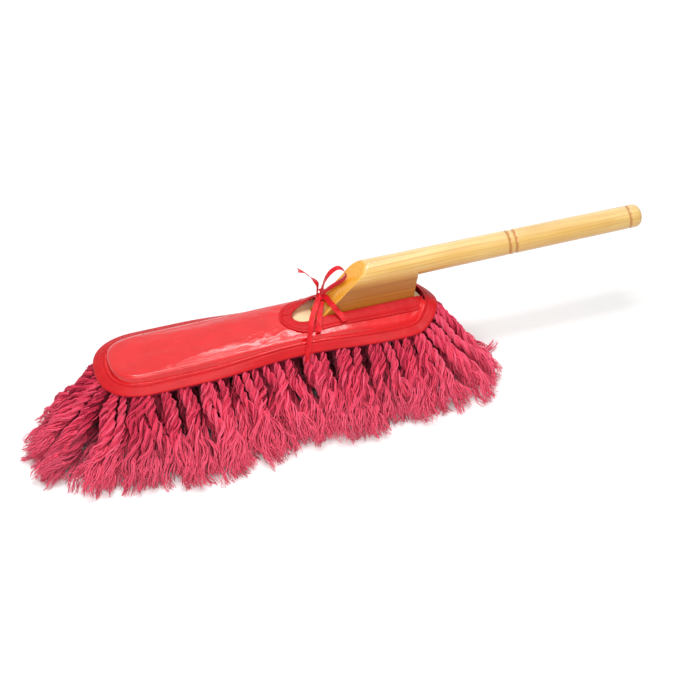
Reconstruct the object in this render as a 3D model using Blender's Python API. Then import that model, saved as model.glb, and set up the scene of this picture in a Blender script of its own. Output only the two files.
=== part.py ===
"""Car duster: a turned wooden handle on a paddle board, inside a mop cover with cotton strands.

Lengths are in metres. The working frame has +X from the toe of the cover to the butt of the
handle, +Y away from the near side and +Z up. Its zero is the toe of the cover, in the plane of
the cover's edge. At the end one empty moves everything, so that the part stands on the floor with
its origin at the middle of its footprint.
"""

import math
import random

import bmesh
import bpy
from mathutils import Vector

MM = 0.001

# Gap between pieces that touch
SEAT_GAP = 0.3 * MM
CUT_OVERRUN = 5.0 * MM

# Paddle board
BOARD_LENGTH = 346.0 * MM
BOARD_HALF_WIDTH = 31.0 * MM
BOARD_THICKNESS = 12.0 * MM
BOARD_END_REACH = 40.0 * MM
BOARD_EDGE_BEVEL = 1.6 * MM
BOARD_STATIONS = 48

# Cover, which is a margin larger than the board
BOARD_TOE_MARGIN = 19.5 * MM
BOARD_HEEL_MARGIN = 14.5 * MM
BOARD_SIDE_MARGIN = 21.0 * MM
COVER_TOE_REACH = 56.0 * MM
COVER_HEEL_REACH = 52.0 * MM
OVAL_POWER = 2.4
OVAL_ARC_STEPS = 60
OVAL_SIDE_STEPS = 80
WAIST_X = 214.0 * MM
WAIST_HALF_LENGTH = 112.0 * MM
WAIST_DEPTH = 8.5 * MM
HEEL_OVER_BOARD = 2.0 * MM
HEEL_RISE_LENGTH = 34.0 * MM
EDGE_HEIGHT = 66.0 * MM
RIM_STATIONS = 96

# Edge binding, a tape folded over the rim
TAPE_THICKNESS = 2.2 * MM
TAPE_INSET = 13.6 * MM
TAPE_RISE = 4.6 * MM
TAPE_WAIST_INSET = 9.0 * MM
TAPE_WAIST_RISE = 9.0 * MM

# Mop backing
BACKING_THICKNESS = 2.0 * MM
BACKING_TOP = -1.2 * MM
BACKING_RIM_INSET = 2.0 * MM
BACKING_RIM_CLEARANCE = 0.6 * MM
BACKING_FLAT_INSET = 12.0 * MM

# Top panel
PANEL_THICKNESS = 1.2 * MM
PANEL_CLEARANCE = 0.7 * MM
WALL_RUN = 3.5 * MM
WALL_WAIST_RUN = 1.5 * MM
WALL_SHOULDER_SHARE = 0.333
CROWN_ROUNDING = 1.5 * MM
CROWN_LIFT = 0.8 * MM
PANEL_DOME = 1.6 * MM
PANEL_ROW_SHARES = (0.25, 0.5, 0.75, 1.0)

# Opening in the top panel
SLIT_FRONT_LEAD = 10.5 * MM
SLIT_FRONT_REACH = 18.0 * MM
SLIT_EDGE_LIFT = 8.9 * MM
SLIT_FRONT_LIFT = 5.4 * MM
SLIT_CLEARANCE = 0.7 * MM
SLIT_END_MARGIN = 3.0 * MM
FAR_LIFT = 8.0 * MM
FAR_LIFT_BEHIND_SLOPE = 24.5 * MM
FAR_LIFT_HALF_LENGTH = 36.0 * MM

# Slit binding
SLIT_TAPE_WIDTH = 13.5 * MM
SLIT_TAPE_THICKNESS = 1.5 * MM
SLIT_TAPE_SEAT = 0.6 * MM
SLIT_TAPE_LARGEST_SHARE = 0.9

# Handle: the neck's rear edge is placed on the board, and the rest is measured from it
NECK_HALF_THICKNESS = 13.6 * MM
NECK_REAR_MARGIN = 14.0 * MM
NECK_REAR_LEAN = 4.1 * MM
NECK_REAR_FILLET = 6.0 * MM
NECK_SLOPE_RUN = 124.0 * MM
NECK_TOE_FOOT = 2.4 * MM
FILLET_STEPS = 4
GRIP_AXIS_HEIGHT = 57.6 * MM
GRIP_NECK_RADIUS = 14.3 * MM
GRIP_BUTT_RADIUS = 13.0 * MM
GRIP_REACH = 278.5 * MM
GRIP_SIDES = 32
BUTT_DOME_LENGTH = 12.5 * MM
BUTT_STEPS = 6
BUTT_DOME_SHARE = 0.9
GROOVES_FROM_BUTT = (164.6 * MM, 156.8 * MM, 16.7 * MM)
GROOVE_HALF_WIDTH = 1.7 * MM
GROOVE_DEPTH = 1.1 * MM
GROOVE_POINT_SHARES = (-1.0, -0.5, 0.0, 0.5, 1.0)

# Screws through the board into the neck
SCREWS_FROM_NECK_REAR = (89.5 * MM, 21.5 * MM)
SCREW_SHANK_RADIUS = 2.1 * MM
SCREW_HEAD_RADIUS = 4.2 * MM
SCREW_HEAD_HEIGHT = 2.8 * MM
SCREW_LENGTH = 26.0 * MM
SCREW_TIP = 4.0 * MM
SCREW_TIP_RADIUS = 0.5 * MM
SCREW_SINK = 0.6 * MM
SCREW_SIDES = 16

# Fringe strands. Zones are counted in rim stations from the middle of the heel, and the last
# number of a zone is the step between the rings of its header strip.
STRAND_RADIUS = 3.0 * MM
STRAND_SIDES = 3
STRAND_SWAY = 1.0 * MM
STRAND_SHORTENING_SHARE = 0.12
HEADER_SEAT = 0.5 * MM
HEADER_THICKNESS = 6.0 * MM
HEADER_OUTER_INSET = 1.2 * MM
HEADER_LIP = 1.3 * MM
HEADER_CHAMFER_INSET = 8.5 * MM
HEADER_INNER_INSET = 23.5 * MM
HEADER_END_GAP = 0.6 * MM
ROOT_DEPTH = 2.9 * MM
REACH_TOE = 84.0 * MM
REACH_SIDE = 67.0 * MM
REACH_HEEL = 66.0 * MM
REACH_TOE_LENGTH = 90.0 * MM
REACH_HEEL_LENGTH = 42.0 * MM
STEADY_EVERY = 3
ZONES = (("far", 9, 39, 3), ("toe", 39, 57, 3), ("near", 57, 87, 3), ("heel", 87, 105, 1))
CROWDED_ZONES = ("toe", "heel")
LAYER_INSETS = (7.5 * MM, 14.0 * MM, 19.5 * MM)
LAYER_REACH_SHARES = (1.0, 0.62, 0.26)
LAYER_STATION_SHARES = (0.38, 0.62, 0.38)
LAYER_PATH_SHARES = (
    ((0.40, 0.36), (0.70, 0.70), (1.0, 1.0)),
    ((0.28, 0.40), (0.60, 0.74), (1.0, 1.0)),
    ((0.18, 0.40), (0.48, 0.76), (1.0, 1.0)),
)

# Rows of strands under the board
UNDER_ROW_YS = (-13.0 * MM, 0.0, 13.0 * MM)
UNDER_TOE_MARGIN = 28.5 * MM
UNDER_HEEL_MARGIN = 27.5 * MM
UNDER_PITCH = 16.5 * MM
UNDER_HALF_WIDTH = 4.2 * MM
UNDER_SWAY = 1.6 * MM
UNDER_SEED = 10
UNDER_PATH_SHARES = (0.5, 1.0)

# Tie ribbons and their knot
RIBBON_WIDTH = 6.0 * MM
RIBBON_THICKNESS = 0.9 * MM
RIBBON_STEPS = 4
KNOT_UP_SLOPE = 27.1 * MM
KNOT_Y = 8.5 * MM
KNOT_HALF_LENGTH = 5.2 * MM
KNOT_HALF_WIDTH = 4.4 * MM
KNOT_HALF_HEIGHT = 3.7 * MM

LACQUERED_PINE = ("lacquered_pine", (0.83, 0.56, 0.24), 0.28, 0.0)
BARE_PINE = ("bare_pine", (0.87, 0.70, 0.45), 0.6, 0.0)
ZINC_STEEL = ("zinc_steel", (0.62, 0.62, 0.60), 0.35, 1.0)
RED_VINYL = ("red_vinyl", (0.83, 0.03, 0.04), 0.25, 0.0)
RED_TAPE = ("red_tape", (0.84, 0.03, 0.04), 0.5, 0.0)
BACKING_CLOTH = ("backing_cloth", (0.30, 0.03, 0.06), 0.9, 0.0)
STRAND_COTTON = ("strand_cotton", (0.62, 0.06, 0.14), 0.9, 0.0)
RIBBON_SATIN = ("ribbon_satin", (0.66, 0.01, 0.06), 0.45, 0.0)

FLOOR_Z = -EDGE_HEIGHT
BOARD_TOE_X = BOARD_TOE_MARGIN
BOARD_HEEL_X = BOARD_TOE_X + BOARD_LENGTH
BOARD_BOTTOM = BACKING_TOP + SEAT_GAP
BOARD_TOP = BOARD_BOTTOM + BOARD_THICKNESS
COVER_LENGTH = BOARD_HEEL_X + BOARD_HEEL_MARGIN
COVER_HALF_WIDTH = BOARD_HALF_WIDTH + BOARD_SIDE_MARGIN
HEEL_RISE = BOARD_THICKNESS + HEEL_OVER_BOARD
BACKING_RIM_TOP = -TAPE_THICKNESS / 2.0 - BACKING_RIM_CLEARANCE
CROWN_HEIGHT = BOARD_TOP + PANEL_CLEARANCE + PANEL_THICKNESS
NECK_BOTTOM = BOARD_TOP + SEAT_GAP
NECK_REAR_X = BOARD_HEEL_X - NECK_REAR_MARGIN
NECK_REAR_TOP_X = NECK_REAR_X + NECK_REAR_LEAN
SLOPE_X = NECK_REAR_X - NECK_SLOPE_RUN
GRIP_START_X = SLOPE_X + GRIP_AXIS_HEIGHT - GRIP_NECK_RADIUS - CUT_OVERRUN
HANDLE_BUTT_X = NECK_REAR_X + GRIP_REACH
SLIT_FRONT_X = SLOPE_X - SLIT_FRONT_LEAD
SLIT_CENTRE_X = SLIT_FRONT_X + SLIT_FRONT_REACH
SLIT_HALF_WIDTH = NECK_HALF_THICKNESS + SLIT_CLEARANCE
SLIT_EDGE_HEIGHT = BOARD_TOP + SLIT_EDGE_LIFT
SLIT_FRONT_HEIGHT = BOARD_TOP + SLIT_FRONT_LIFT
FAR_LIFT_X = SLOPE_X + FAR_LIFT_BEHIND_SLOPE
UNDER_START_X = BOARD_TOE_X + UNDER_TOE_MARGIN
UNDER_END_X = BOARD_HEEL_X - UNDER_HEEL_MARGIN
UP = Vector((0.0, 0.0, 1.0))


def clear_scene():
    """Remove every object that the file opened with."""
    for item in list(bpy.data.objects):
        bpy.data.objects.remove(item, do_unlink=True)


def make_material(finish):
    """Make a Principled material from a name, a colour, a roughness and a metallic value."""
    name, colour, roughness, metallic = finish
    material = bpy.data.materials.get(name) or bpy.data.materials.new(name)
    material.use_nodes = True
    shader = material.node_tree.nodes["Principled BSDF"]
    shader.inputs["Base Color"].default_value = (*colour, 1.0)
    shader.inputs["Roughness"].default_value = roughness
    shader.inputs["Metallic"].default_value = metallic
    material.diffuse_color = (*colour, 1.0)
    return material


def add_object(name, shape, parent, finish=None, location=(0.0, 0.0, 0.0)):
    """Turn a bmesh into an object; one without a finish is a hidden cutter or guide."""
    bmesh.ops.recalc_face_normals(shape, faces=shape.faces)
    mesh = bpy.data.meshes.new(name)
    shape.to_mesh(mesh)
    shape.free()
    item = bpy.data.objects.new(name, mesh)
    item.parent = parent
    item.location = location
    bpy.context.scene.collection.objects.link(item)
    if finish is None:
        item.hide_render = True
        item.display_type = "WIRE"
    else:
        mesh.materials.append(make_material(finish))
    return item


def combine(target, other, operation):
    """Join another object to a target, or cut it out of the target."""
    step = target.modifiers.new(f"{operation.lower()}_{other.name}", "BOOLEAN")
    step.operation = operation
    step.object = other
    step.solver = "EXACT"


def smooth_shade(item, angle=math.radians(35.0)):
    """Shade a round piece smooth, with its sharp edges kept."""
    item.data.shade_smooth()
    item.data.set_sharp_from_angle(angle=angle)


def smooth_step(share):
    """Ease a share between 0 and 1."""
    share = min(max(share, 0.0), 1.0)
    return share * share * (3.0 - 2.0 * share)


def swell(place, middle, half_length):
    """Rise from 0 to 1 and fall back to 0 around a middle place."""
    share = (place - middle) / half_length
    return math.cos(share * math.pi / 2.0) ** 2 if abs(share) < 1.0 else 0.0


def mix(low, high, share):
    """Blend two numbers or vectors."""
    return low + (high - low) * share


def skin(rings, closed=False):
    """Join rings of points, each with the same count, into a closed surface."""
    shape = bmesh.new()
    loops = [[shape.verts.new(point) for point in ring] for ring in rings]
    count = len(loops[0])
    pairs = list(zip(loops, loops[1:] + loops[:1])) if closed else list(zip(loops, loops[1:]))
    for first, second in pairs:
        for side in range(count):
            after = (side + 1) % count
            shape.faces.new((first[side], first[after], second[after], second[side]))
    if not closed:
        shape.faces.new(list(reversed(loops[0])))
        shape.faces.new(loops[-1])
    return shape


def turned(profile, sides, axis):
    """Spin a half outline, whose ends stay off the axis, and close it with flat ends."""
    shape = bmesh.new()
    points = [shape.verts.new(point) for point in profile]
    edges = [shape.edges.new(pair) for pair in zip(points, points[1:])]
    bmesh.ops.spin(
        shape, geom=points + edges, cent=(0.0, 0.0, 0.0), axis=axis,
        angle=math.tau, steps=sides, use_merge=True,
    )
    rims = [edge for edge in shape.edges if edge.is_boundary]
    bmesh.ops.holes_fill(shape, edges=rims, sides=0)
    return shape


def resample(points, count, closed):
    """Space points evenly along a line."""
    line = points + points[:1] if closed else points
    lengths = [0.0]
    for first, second in zip(line, line[1:]):
        lengths.append(lengths[-1] + (second - first).length)
    steps = count if closed else count - 1
    spaced = []
    place = 0
    for index in range(count):
        wanted = lengths[-1] * index / steps
        while place < len(lengths) - 2 and lengths[place + 1] < wanted:
            place += 1
        share = (wanted - lengths[place]) / (lengths[place + 1] - lengths[place])
        spaced.append(mix(line[place], line[place + 1], share))
    return spaced


def oval(start_x, end_x, half_width, start_reach, end_reach):
    """Outline a long oval from its middle at end_x, round the far side, the start and back."""
    far_side = []
    for index in range(OVAL_ARC_STEPS + 1):
        angle = math.pi / 2.0 * index / OVAL_ARC_STEPS
        along = math.cos(angle) ** (2.0 / OVAL_POWER)
        across = math.sin(angle) ** (2.0 / OVAL_POWER)
        far_side.append(Vector((end_x - end_reach + end_reach * along, half_width * across, 0.0)))
    side_start = start_x + start_reach
    side_end = end_x - end_reach
    for index in range(1, OVAL_SIDE_STEPS):
        place = mix(side_end, side_start, index / OVAL_SIDE_STEPS)
        far_side.append(Vector((place, half_width, 0.0)))
    for index in range(OVAL_ARC_STEPS, -1, -1):
        angle = math.pi / 2.0 * index / OVAL_ARC_STEPS
        along = math.cos(angle) ** (2.0 / OVAL_POWER)
        across = math.sin(angle) ** (2.0 / OVAL_POWER)
        far_side.append(Vector((side_start - start_reach * along, half_width * across, 0.0)))
    near_side = [Vector((point.x, -point.y, 0.0)) for point in reversed(far_side[1:-1])]
    return far_side + near_side


def waist(place):
    """Tell how far a place along the cover is drawn in, from 0 to 1."""
    return swell(place, WAIST_X, WAIST_HALF_LENGTH)


def rim_rise(place):
    """Height of the cover's edge, which climbs over the heel of the board."""
    start = COVER_LENGTH - HEEL_RISE_LENGTH
    return HEEL_RISE * smooth_step((place - start) / HEEL_RISE_LENGTH)


def cover_outline(count):
    """Outline of the cover's edge, evenly spaced, with its waist."""
    points = oval(0.0, COVER_LENGTH, COVER_HALF_WIDTH, COVER_TOE_REACH, COVER_HEEL_REACH)
    for point in points:
        share = 1.0 - WAIST_DEPTH / COVER_HALF_WIDTH * waist(point.x)
        point.y *= share
    return resample(points, count, closed=True)


def outward_normals(points):
    """Level outward direction at each point of a closed outline."""
    normals = []
    for index, _ in enumerate(points):
        run = points[(index + 1) % len(points)] - points[index - 1]
        normals.append(Vector((run.y, -run.x, 0.0)).normalized())
    return normals


class Rim:
    """The cover's edge as evenly spaced stations."""

    def __init__(self, count):
        self.points = cover_outline(count)
        self.normals = outward_normals(self.points)

    def place(self, index, inset, height):
        """Point inside the edge by an inset and above it by a height."""
        point = self.points[index] - self.normals[index] * inset
        return Vector((point.x, point.y, rim_rise(self.points[index].x) + height))

    def tape_end(self, index):
        """Inset and height of the edge binding's inner side."""
        drawn = waist(self.points[index].x)
        return (
            mix(TAPE_INSET, TAPE_WAIST_INSET, drawn),
            mix(TAPE_RISE, TAPE_WAIST_RISE, drawn),
        )


def edge_binding_shape(rim):
    """Folded tape all the way round the rim, with a round outer fold."""
    rings = []
    half = TAPE_THICKNESS / 2.0
    for index in range(len(rim.points)):
        inset, rise = rim.tape_end(index)
        run = Vector((inset - half, rise)).normalized()
        lift = Vector((-run.y, run.x)) * half
        outer = Vector((half, 0.0))
        inner = Vector((inset, rise))
        section = (outer - run * half, outer + lift, inner + lift, inner - lift, outer - lift)
        rings.append([rim.place(index, spot.x, spot.y) for spot in section])
    return skin(rings, closed=True)


def slit_edge_height(place, side):
    """Height of the opening's edge, lifted on the far side where the tie draws it up."""
    front = smooth_step((place - SLIT_FRONT_X) / (2.0 * SLIT_FRONT_REACH))
    height = mix(SLIT_FRONT_HEIGHT, SLIT_EDGE_HEIGHT, front)
    if side > 0.0:
        height += FAR_LIFT * swell(place, FAR_LIFT_X, FAR_LIFT_HALF_LENGTH)
    return height


def slit_edge(crown):
    """Point of the opening's edge that faces a point of the crown."""
    side = 1.0 if crown.y >= 0.0 else -1.0
    if crown.x >= SLIT_CENTRE_X:
        return Vector((crown.x, side * SLIT_HALF_WIDTH, slit_edge_height(crown.x, side)))
    direction = Vector((crown.x - SLIT_CENTRE_X, crown.y)).normalized()
    reach = 1.0 / math.hypot(direction.x / SLIT_FRONT_REACH, direction.y / SLIT_HALF_WIDTH)
    place = SLIT_CENTRE_X + direction.x * reach
    return Vector((place, direction.y * reach, slit_edge_height(place, direction.y)))


class PanelLine:
    """One line of the top panel, from the edge binding over the crown to the opening."""

    def __init__(self, rim, index):
        inset, rise = rim.tape_end(index)
        run = mix(WALL_RUN, WALL_WAIST_RUN, waist(rim.points[index].x))
        foot_inset = inset + TAPE_THICKNESS / 2.0
        self.foot = rim.place(index, foot_inset, rise)
        crown_height = max(CROWN_HEIGHT, self.foot.z + CROWN_LIFT)
        shoulder = rim.place(index, foot_inset + run * WALL_SHOULDER_SHARE, 0.0)
        crown = rim.place(index, foot_inset + run, 0.0)
        rounding = min(CROWN_ROUNDING, (crown_height - self.foot.z) / 2.0)
        self.shoulder = Vector((shoulder.x, shoulder.y, crown_height - rounding))
        self.crown = Vector((crown.x, crown.y, crown_height))
        self.edge = slit_edge(self.crown)
        self.run = Vector((self.edge.x - self.crown.x, self.edge.y - self.crown.y)).length

    def top(self, share):
        """Point on the top, from the crown at 0 to the opening at 1."""
        point = mix(self.crown, self.edge, share)
        dome = PANEL_DOME * min(self.run / COVER_HALF_WIDTH, 1.0) * math.sin(math.pi * share)
        return point + UP * dome

    def rows(self):
        """Points of the line, from the edge binding to the opening."""
        return [self.foot, self.shoulder, self.crown] + [self.top(s) for s in PANEL_ROW_SHARES]


def panel_lines(rim):
    """Lines of the panel from the far heel, round the toe, to the near heel."""
    lines = [PanelLine(rim, index) for index in range(len(rim.points))]
    return [line for line in lines if abs(line.crown.y) > SLIT_HALF_WIDTH + SLIT_END_MARGIN
            or line.crown.x < SLIT_FRONT_X]


def top_panel_shape(lines):
    """Open sheet of the top panel; a Solidify step gives it its thickness."""
    shape = bmesh.new()
    columns = [[shape.verts.new(point) for point in line.rows()] for line in lines]
    for first, second in zip(columns, columns[1:]):
        for row in range(len(first) - 1):
            shape.faces.new((first[row], second[row], second[row + 1], first[row + 1]))
    return shape


def slit_binding_shape(lines):
    """Tape along the opening's edge, from the far heel round the front to the near heel."""
    rings = []
    for line in lines:
        width = min(SLIT_TAPE_WIDTH, line.run * SLIT_TAPE_LARGEST_SHARE)
        seams = [line.top(1.0 - width * share / line.run) for share in (0.0, 0.5, 1.0)]
        low = [seam + UP * SLIT_TAPE_SEAT for seam in seams]
        high = [seam + UP * SLIT_TAPE_THICKNESS for seam in low]
        rings.append(low + high[::-1])
    return skin(rings)


def board_shape():
    """Flat board with long round ends and eased edges."""
    outline = oval(BOARD_TOE_X, BOARD_HEEL_X, BOARD_HALF_WIDTH, BOARD_END_REACH, BOARD_END_REACH)
    points = resample(outline, BOARD_STATIONS, closed=True)
    shape = bmesh.new()
    face = shape.faces.new([shape.verts.new((p.x, p.y, BOARD_BOTTOM)) for p in points])
    raised = bmesh.ops.extrude_face_region(shape, geom=[face])
    top = [item for item in raised["geom"] if isinstance(item, bmesh.types.BMVert)]
    bmesh.ops.translate(shape, verts=top, vec=UP * BOARD_THICKNESS)
    level = [edge for edge in shape.edges if edge.verts[0].co.z == edge.verts[1].co.z]
    bmesh.ops.bevel(shape, geom=level, offset=BOARD_EDGE_BEVEL, segments=1, affect="EDGES")
    return shape


def backing_shape(rim):
    """Canvas under the board, whose rim climbs behind the heel of the board."""
    shape = bmesh.new()
    columns = []
    for index in range(len(rim.points)):
        flat = rim.place(index, BACKING_FLAT_INSET, 0.0)
        top = rim.place(index, BACKING_RIM_INSET, BACKING_RIM_TOP)
        spots = (
            Vector((flat.x, flat.y, BACKING_TOP)),
            top,
            top - UP * BACKING_THICKNESS,
            Vector((flat.x, flat.y, BACKING_TOP - BACKING_THICKNESS)),
        )
        columns.append([shape.verts.new(spot) for spot in spots])
    for index, column in enumerate(columns):
        after = columns[(index + 1) % len(columns)]
        for row in range(3):
            shape.faces.new((column[row], after[row], after[row + 1], column[row + 1]))
    shape.faces.new([column[0] for column in columns])
    shape.faces.new([column[3] for column in reversed(columns)])
    return shape


def grip_radius(place):
    """Radius of the tapered grip."""
    share = (place - GRIP_START_X) / (HANDLE_BUTT_X - GRIP_START_X)
    return mix(GRIP_NECK_RADIUS, GRIP_BUTT_RADIUS, share)


def grip_profile():
    """Half outline of the grip with its ring grooves and domed butt."""
    profile = [Vector((GRIP_START_X, 0.0, grip_radius(GRIP_START_X)))]
    for distance in GROOVES_FROM_BUTT:
        for share in GROOVE_POINT_SHARES:
            place = HANDLE_BUTT_X - distance + GROOVE_HALF_WIDTH * share
            depth = GROOVE_DEPTH * (1.0 - share * share)
            profile.append(Vector((place, 0.0, grip_radius(place) - depth)))
    dome_start = HANDLE_BUTT_X - BUTT_DOME_LENGTH
    radius = grip_radius(dome_start)
    for step in range(BUTT_STEPS):
        angle = math.pi / 2.0 * step / (BUTT_STEPS - 1) * BUTT_DOME_SHARE
        place = dome_start + BUTT_DOME_LENGTH * math.sin(angle)
        profile.append(Vector((place, 0.0, radius * math.cos(angle))))
    return profile


def neck_outline():
    """Side view of the neck before its front is sloped, with its rear edge filleted to the grip."""
    toe_x = SLOPE_X + NECK_BOTTOM + NECK_TOE_FOOT
    underside = GRIP_AXIS_HEIGHT - NECK_HALF_THICKNESS
    outline = [
        (toe_x, NECK_BOTTOM),
        (toe_x, GRIP_AXIS_HEIGHT),
        (NECK_REAR_TOP_X + 2.0 * NECK_REAR_FILLET, GRIP_AXIS_HEIGHT),
    ]
    for step in range(FILLET_STEPS + 1):
        angle = math.pi / 2.0 * step / FILLET_STEPS
        outline.append((
            NECK_REAR_TOP_X + NECK_REAR_FILLET * (1.0 - math.sin(angle)),
            underside - NECK_REAR_FILLET * (1.0 - math.cos(angle)),
        ))
    outline.append((NECK_REAR_X, NECK_BOTTOM))
    return outline


def neck_shape():
    """Flat-sided neck that carries the grip above the board."""
    shape = bmesh.new()
    corners = [shape.verts.new((x, -NECK_HALF_THICKNESS, z)) for x, z in neck_outline()]
    side = shape.faces.new(corners)
    raised = bmesh.ops.extrude_face_region(shape, geom=[side])
    far = [item for item in raised["geom"] if isinstance(item, bmesh.types.BMVert)]
    bmesh.ops.translate(shape, verts=far, vec=(0.0, 2.0 * NECK_HALF_THICKNESS, 0.0))
    return shape


def slope_cutter_shape():
    """Block that slopes the front of the neck and of the grip."""
    reach = GRIP_AXIS_HEIGHT + 2.0 * GRIP_NECK_RADIUS
    low = NECK_BOTTOM - CUT_OVERRUN
    half = NECK_HALF_THICKNESS + CUT_OVERRUN
    outline = (
        (SLOPE_X + low, low),
        (SLOPE_X + reach, reach),
        (SLOPE_X + low - CUT_OVERRUN, reach),
        (SLOPE_X + low - CUT_OVERRUN, low),
    )
    rings = [[Vector((x, y, z)) for x, z in outline] for y in (-half, half)]
    return skin(rings)


def screw_profile(growth, overrun):
    """Half outline of a countersunk screw on its head, grown by a clearance for its hole."""
    head = SCREW_HEAD_RADIUS + growth
    shank = SCREW_SHANK_RADIUS + growth
    tip_start = SCREW_LENGTH - SCREW_TIP
    return [
        Vector((head, 0.0, -overrun)),
        Vector((head, 0.0, growth)),
        Vector((shank, 0.0, SCREW_HEAD_HEIGHT + growth)),
        Vector((shank, 0.0, tip_start + growth)),
        Vector((SCREW_TIP_RADIUS + growth, 0.0, SCREW_LENGTH + growth)),
    ]


def header_top(rim, index, inset):
    """Height of the header strip's upper side at an inset."""
    drop = BACKING_THICKNESS + HEADER_SEAT
    outer = rim.place(index, 0.0, BACKING_RIM_TOP).z
    share = (inset - HEADER_OUTER_INSET) / (BACKING_FLAT_INSET - HEADER_OUTER_INSET)
    return mix(outer, BACKING_TOP, min(share, 1.0)) - drop


def fringe_header(rim, first, last, step):
    """Strip of folded backing that carries one zone of the fringe."""
    rings = []
    section = (
        (HEADER_OUTER_INSET, 0.0),
        (BACKING_FLAT_INSET, 0.0),
        (HEADER_INNER_INSET, 0.0),
        (HEADER_INNER_INSET, HEADER_THICKNESS),
        (HEADER_CHAMFER_INSET, HEADER_THICKNESS),
        (HEADER_OUTER_INSET, HEADER_LIP),
    )
    for index in range(first, last + 1, step):
        station = index % RIM_STATIONS
        along = UP.cross(rim.normals[station]) * (HEADER_END_GAP / 2.0)
        shift = along if index == first else -along if index == last else along * 0.0
        ring = []
        for inset, depth in section:
            point = rim.place(station, inset, 0.0)
            point.z = header_top(rim, station, inset) - depth
            ring.append(point + shift)
        rings.append(ring)
    return skin(rings)


def add_strand(shape, path, side):
    """Add one three-sided strand along a path, with its tip cut level at the floor."""
    rings = []
    for place, point in enumerate(path):
        before = path[max(place - 1, 0)]
        after = path[min(place + 1, len(path) - 1)]
        run = (after - before).normalized()
        across = (side - run * side.dot(run)).normalized()
        lift = run.cross(across)
        ring = []
        for corner in range(STRAND_SIDES):
            angle = math.pi / 2.0 + math.tau * corner / STRAND_SIDES
            spot = point + (across * math.cos(angle) + lift * math.sin(angle)) * STRAND_RADIUS
            if place == len(path) - 1:
                spot -= run * ((spot.z - FLOOR_Z) / run.z)
            ring.append(shape.verts.new(spot))
        rings.append(ring)
    for first, second in zip(rings, rings[1:]):
        for corner in range(STRAND_SIDES):
            after = (corner + 1) % STRAND_SIDES
            shape.faces.new((first[corner], first[after], second[after], second[corner]))
    shape.faces.new(list(reversed(rings[0])))
    shape.faces.new(rings[-1])


def reach_at(place):
    """How far the fringe reaches out at the floor, longest at the toe."""
    toe = smooth_step((REACH_TOE_LENGTH - place) / REACH_TOE_LENGTH)
    heel = smooth_step((place - COVER_LENGTH + REACH_HEEL_LENGTH) / REACH_HEEL_LENGTH)
    return REACH_SIDE + (REACH_TOE - REACH_SIDE) * toe + (REACH_HEEL - REACH_SIDE) * heel


def strand_root(rim, index, share, inset):
    """Place inside the header between two stations, with the outward direction there."""
    here, there = index % RIM_STATIONS, (index + 1) % RIM_STATIONS
    root = mix(rim.place(here, inset, 0.0), rim.place(there, inset, 0.0), share)
    root.z = mix(header_top(rim, here, inset), header_top(rim, there, inset), share) - ROOT_DEPTH
    outward = mix(rim.normals[here], rim.normals[there], share).normalized()
    return root, outward


def fringe_strands(rim, zone, first, last, chance):
    """Three layers of strands along one zone, the top one reaching furthest."""
    shape = bmesh.new()
    for layer, inset in enumerate(LAYER_INSETS):
        step = 2 if layer == 2 and zone in CROWDED_ZONES else 1
        for index in range(first, last, step):
            root, outward = strand_root(rim, index, LAYER_STATION_SHARES[layer], inset)
            side = UP.cross(outward)
            reach_share = LAYER_REACH_SHARES[layer]
            reach = inset + reach_at(rim.points[index % RIM_STATIONS].x) * reach_share
            free = index % STEADY_EVERY != 0
            if free:
                reach *= 1.0 - STRAND_SHORTENING_SHARE * chance.random()
            path = [root]
            for out_share, down_share in LAYER_PATH_SHARES[layer]:
                sway = STRAND_SWAY * out_share * (2.0 * chance.random() - 1.0) if free else 0.0
                point = root + outward * (reach * out_share) + side * sway
                point.z = mix(root.z, FLOOR_Z, down_share)
                path.append(point)
            add_strand(shape, path, side)
    return shape


def under_header(row_y):
    """Strip under the board that carries one row of strands."""
    top = BACKING_TOP - BACKING_THICKNESS - HEADER_SEAT
    low = top - HEADER_THICKNESS
    rings = []
    for place in (UNDER_START_X, UNDER_END_X):
        rings.append([
            Vector((place, row_y - UNDER_HALF_WIDTH, low)),
            Vector((place, row_y + UNDER_HALF_WIDTH, low)),
            Vector((place, row_y + UNDER_HALF_WIDTH, top)),
            Vector((place, row_y - UNDER_HALF_WIDTH, top)),
        ])
    return skin(rings)


def under_strands(row_y, chance):
    """One row of strands that hang straight down under the board."""
    shape = bmesh.new()
    count = int((UNDER_END_X - UNDER_START_X) / UNDER_PITCH)
    top = BACKING_TOP - BACKING_THICKNESS - HEADER_SEAT - HEADER_THICKNESS + ROOT_DEPTH
    side = Vector((1.0, 0.0, 0.0))
    for number in range(count):
        place = mix(UNDER_START_X, UNDER_END_X, (number + 0.5) / count)
        root = Vector((place, row_y, top))
        path = [root]
        for down_share in UNDER_PATH_SHARES:
            sway_x = UNDER_SWAY * (2.0 * chance.random() - 1.0)
            sway_y = UNDER_SWAY * (2.0 * chance.random() - 1.0)
            height = mix(top, FLOOR_Z, down_share)
            path.append(Vector((place + sway_x, row_y + sway_y, height)))
        add_strand(shape, path, side)
    return shape


def curve_through(points, steps):
    """Smooth line through points, with a number of steps between each two."""
    ends = [points[0] * 2.0 - points[1]] + points + [points[-1] * 2.0 - points[-2]]
    line = []
    for index in range(1, len(ends) - 2):
        a, b, c, d = ends[index - 1:index + 3]
        for step in range(steps):
            t = step / steps
            line.append(0.5 * (
                b * 2.0 + (c - a) * t + (a * 2.0 - b * 5.0 + c * 4.0 - d) * t * t
                + (b * 3.0 - a - c * 3.0 + d) * t * t * t
            ))
    line.append(points[-1].copy())
    return line


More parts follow.
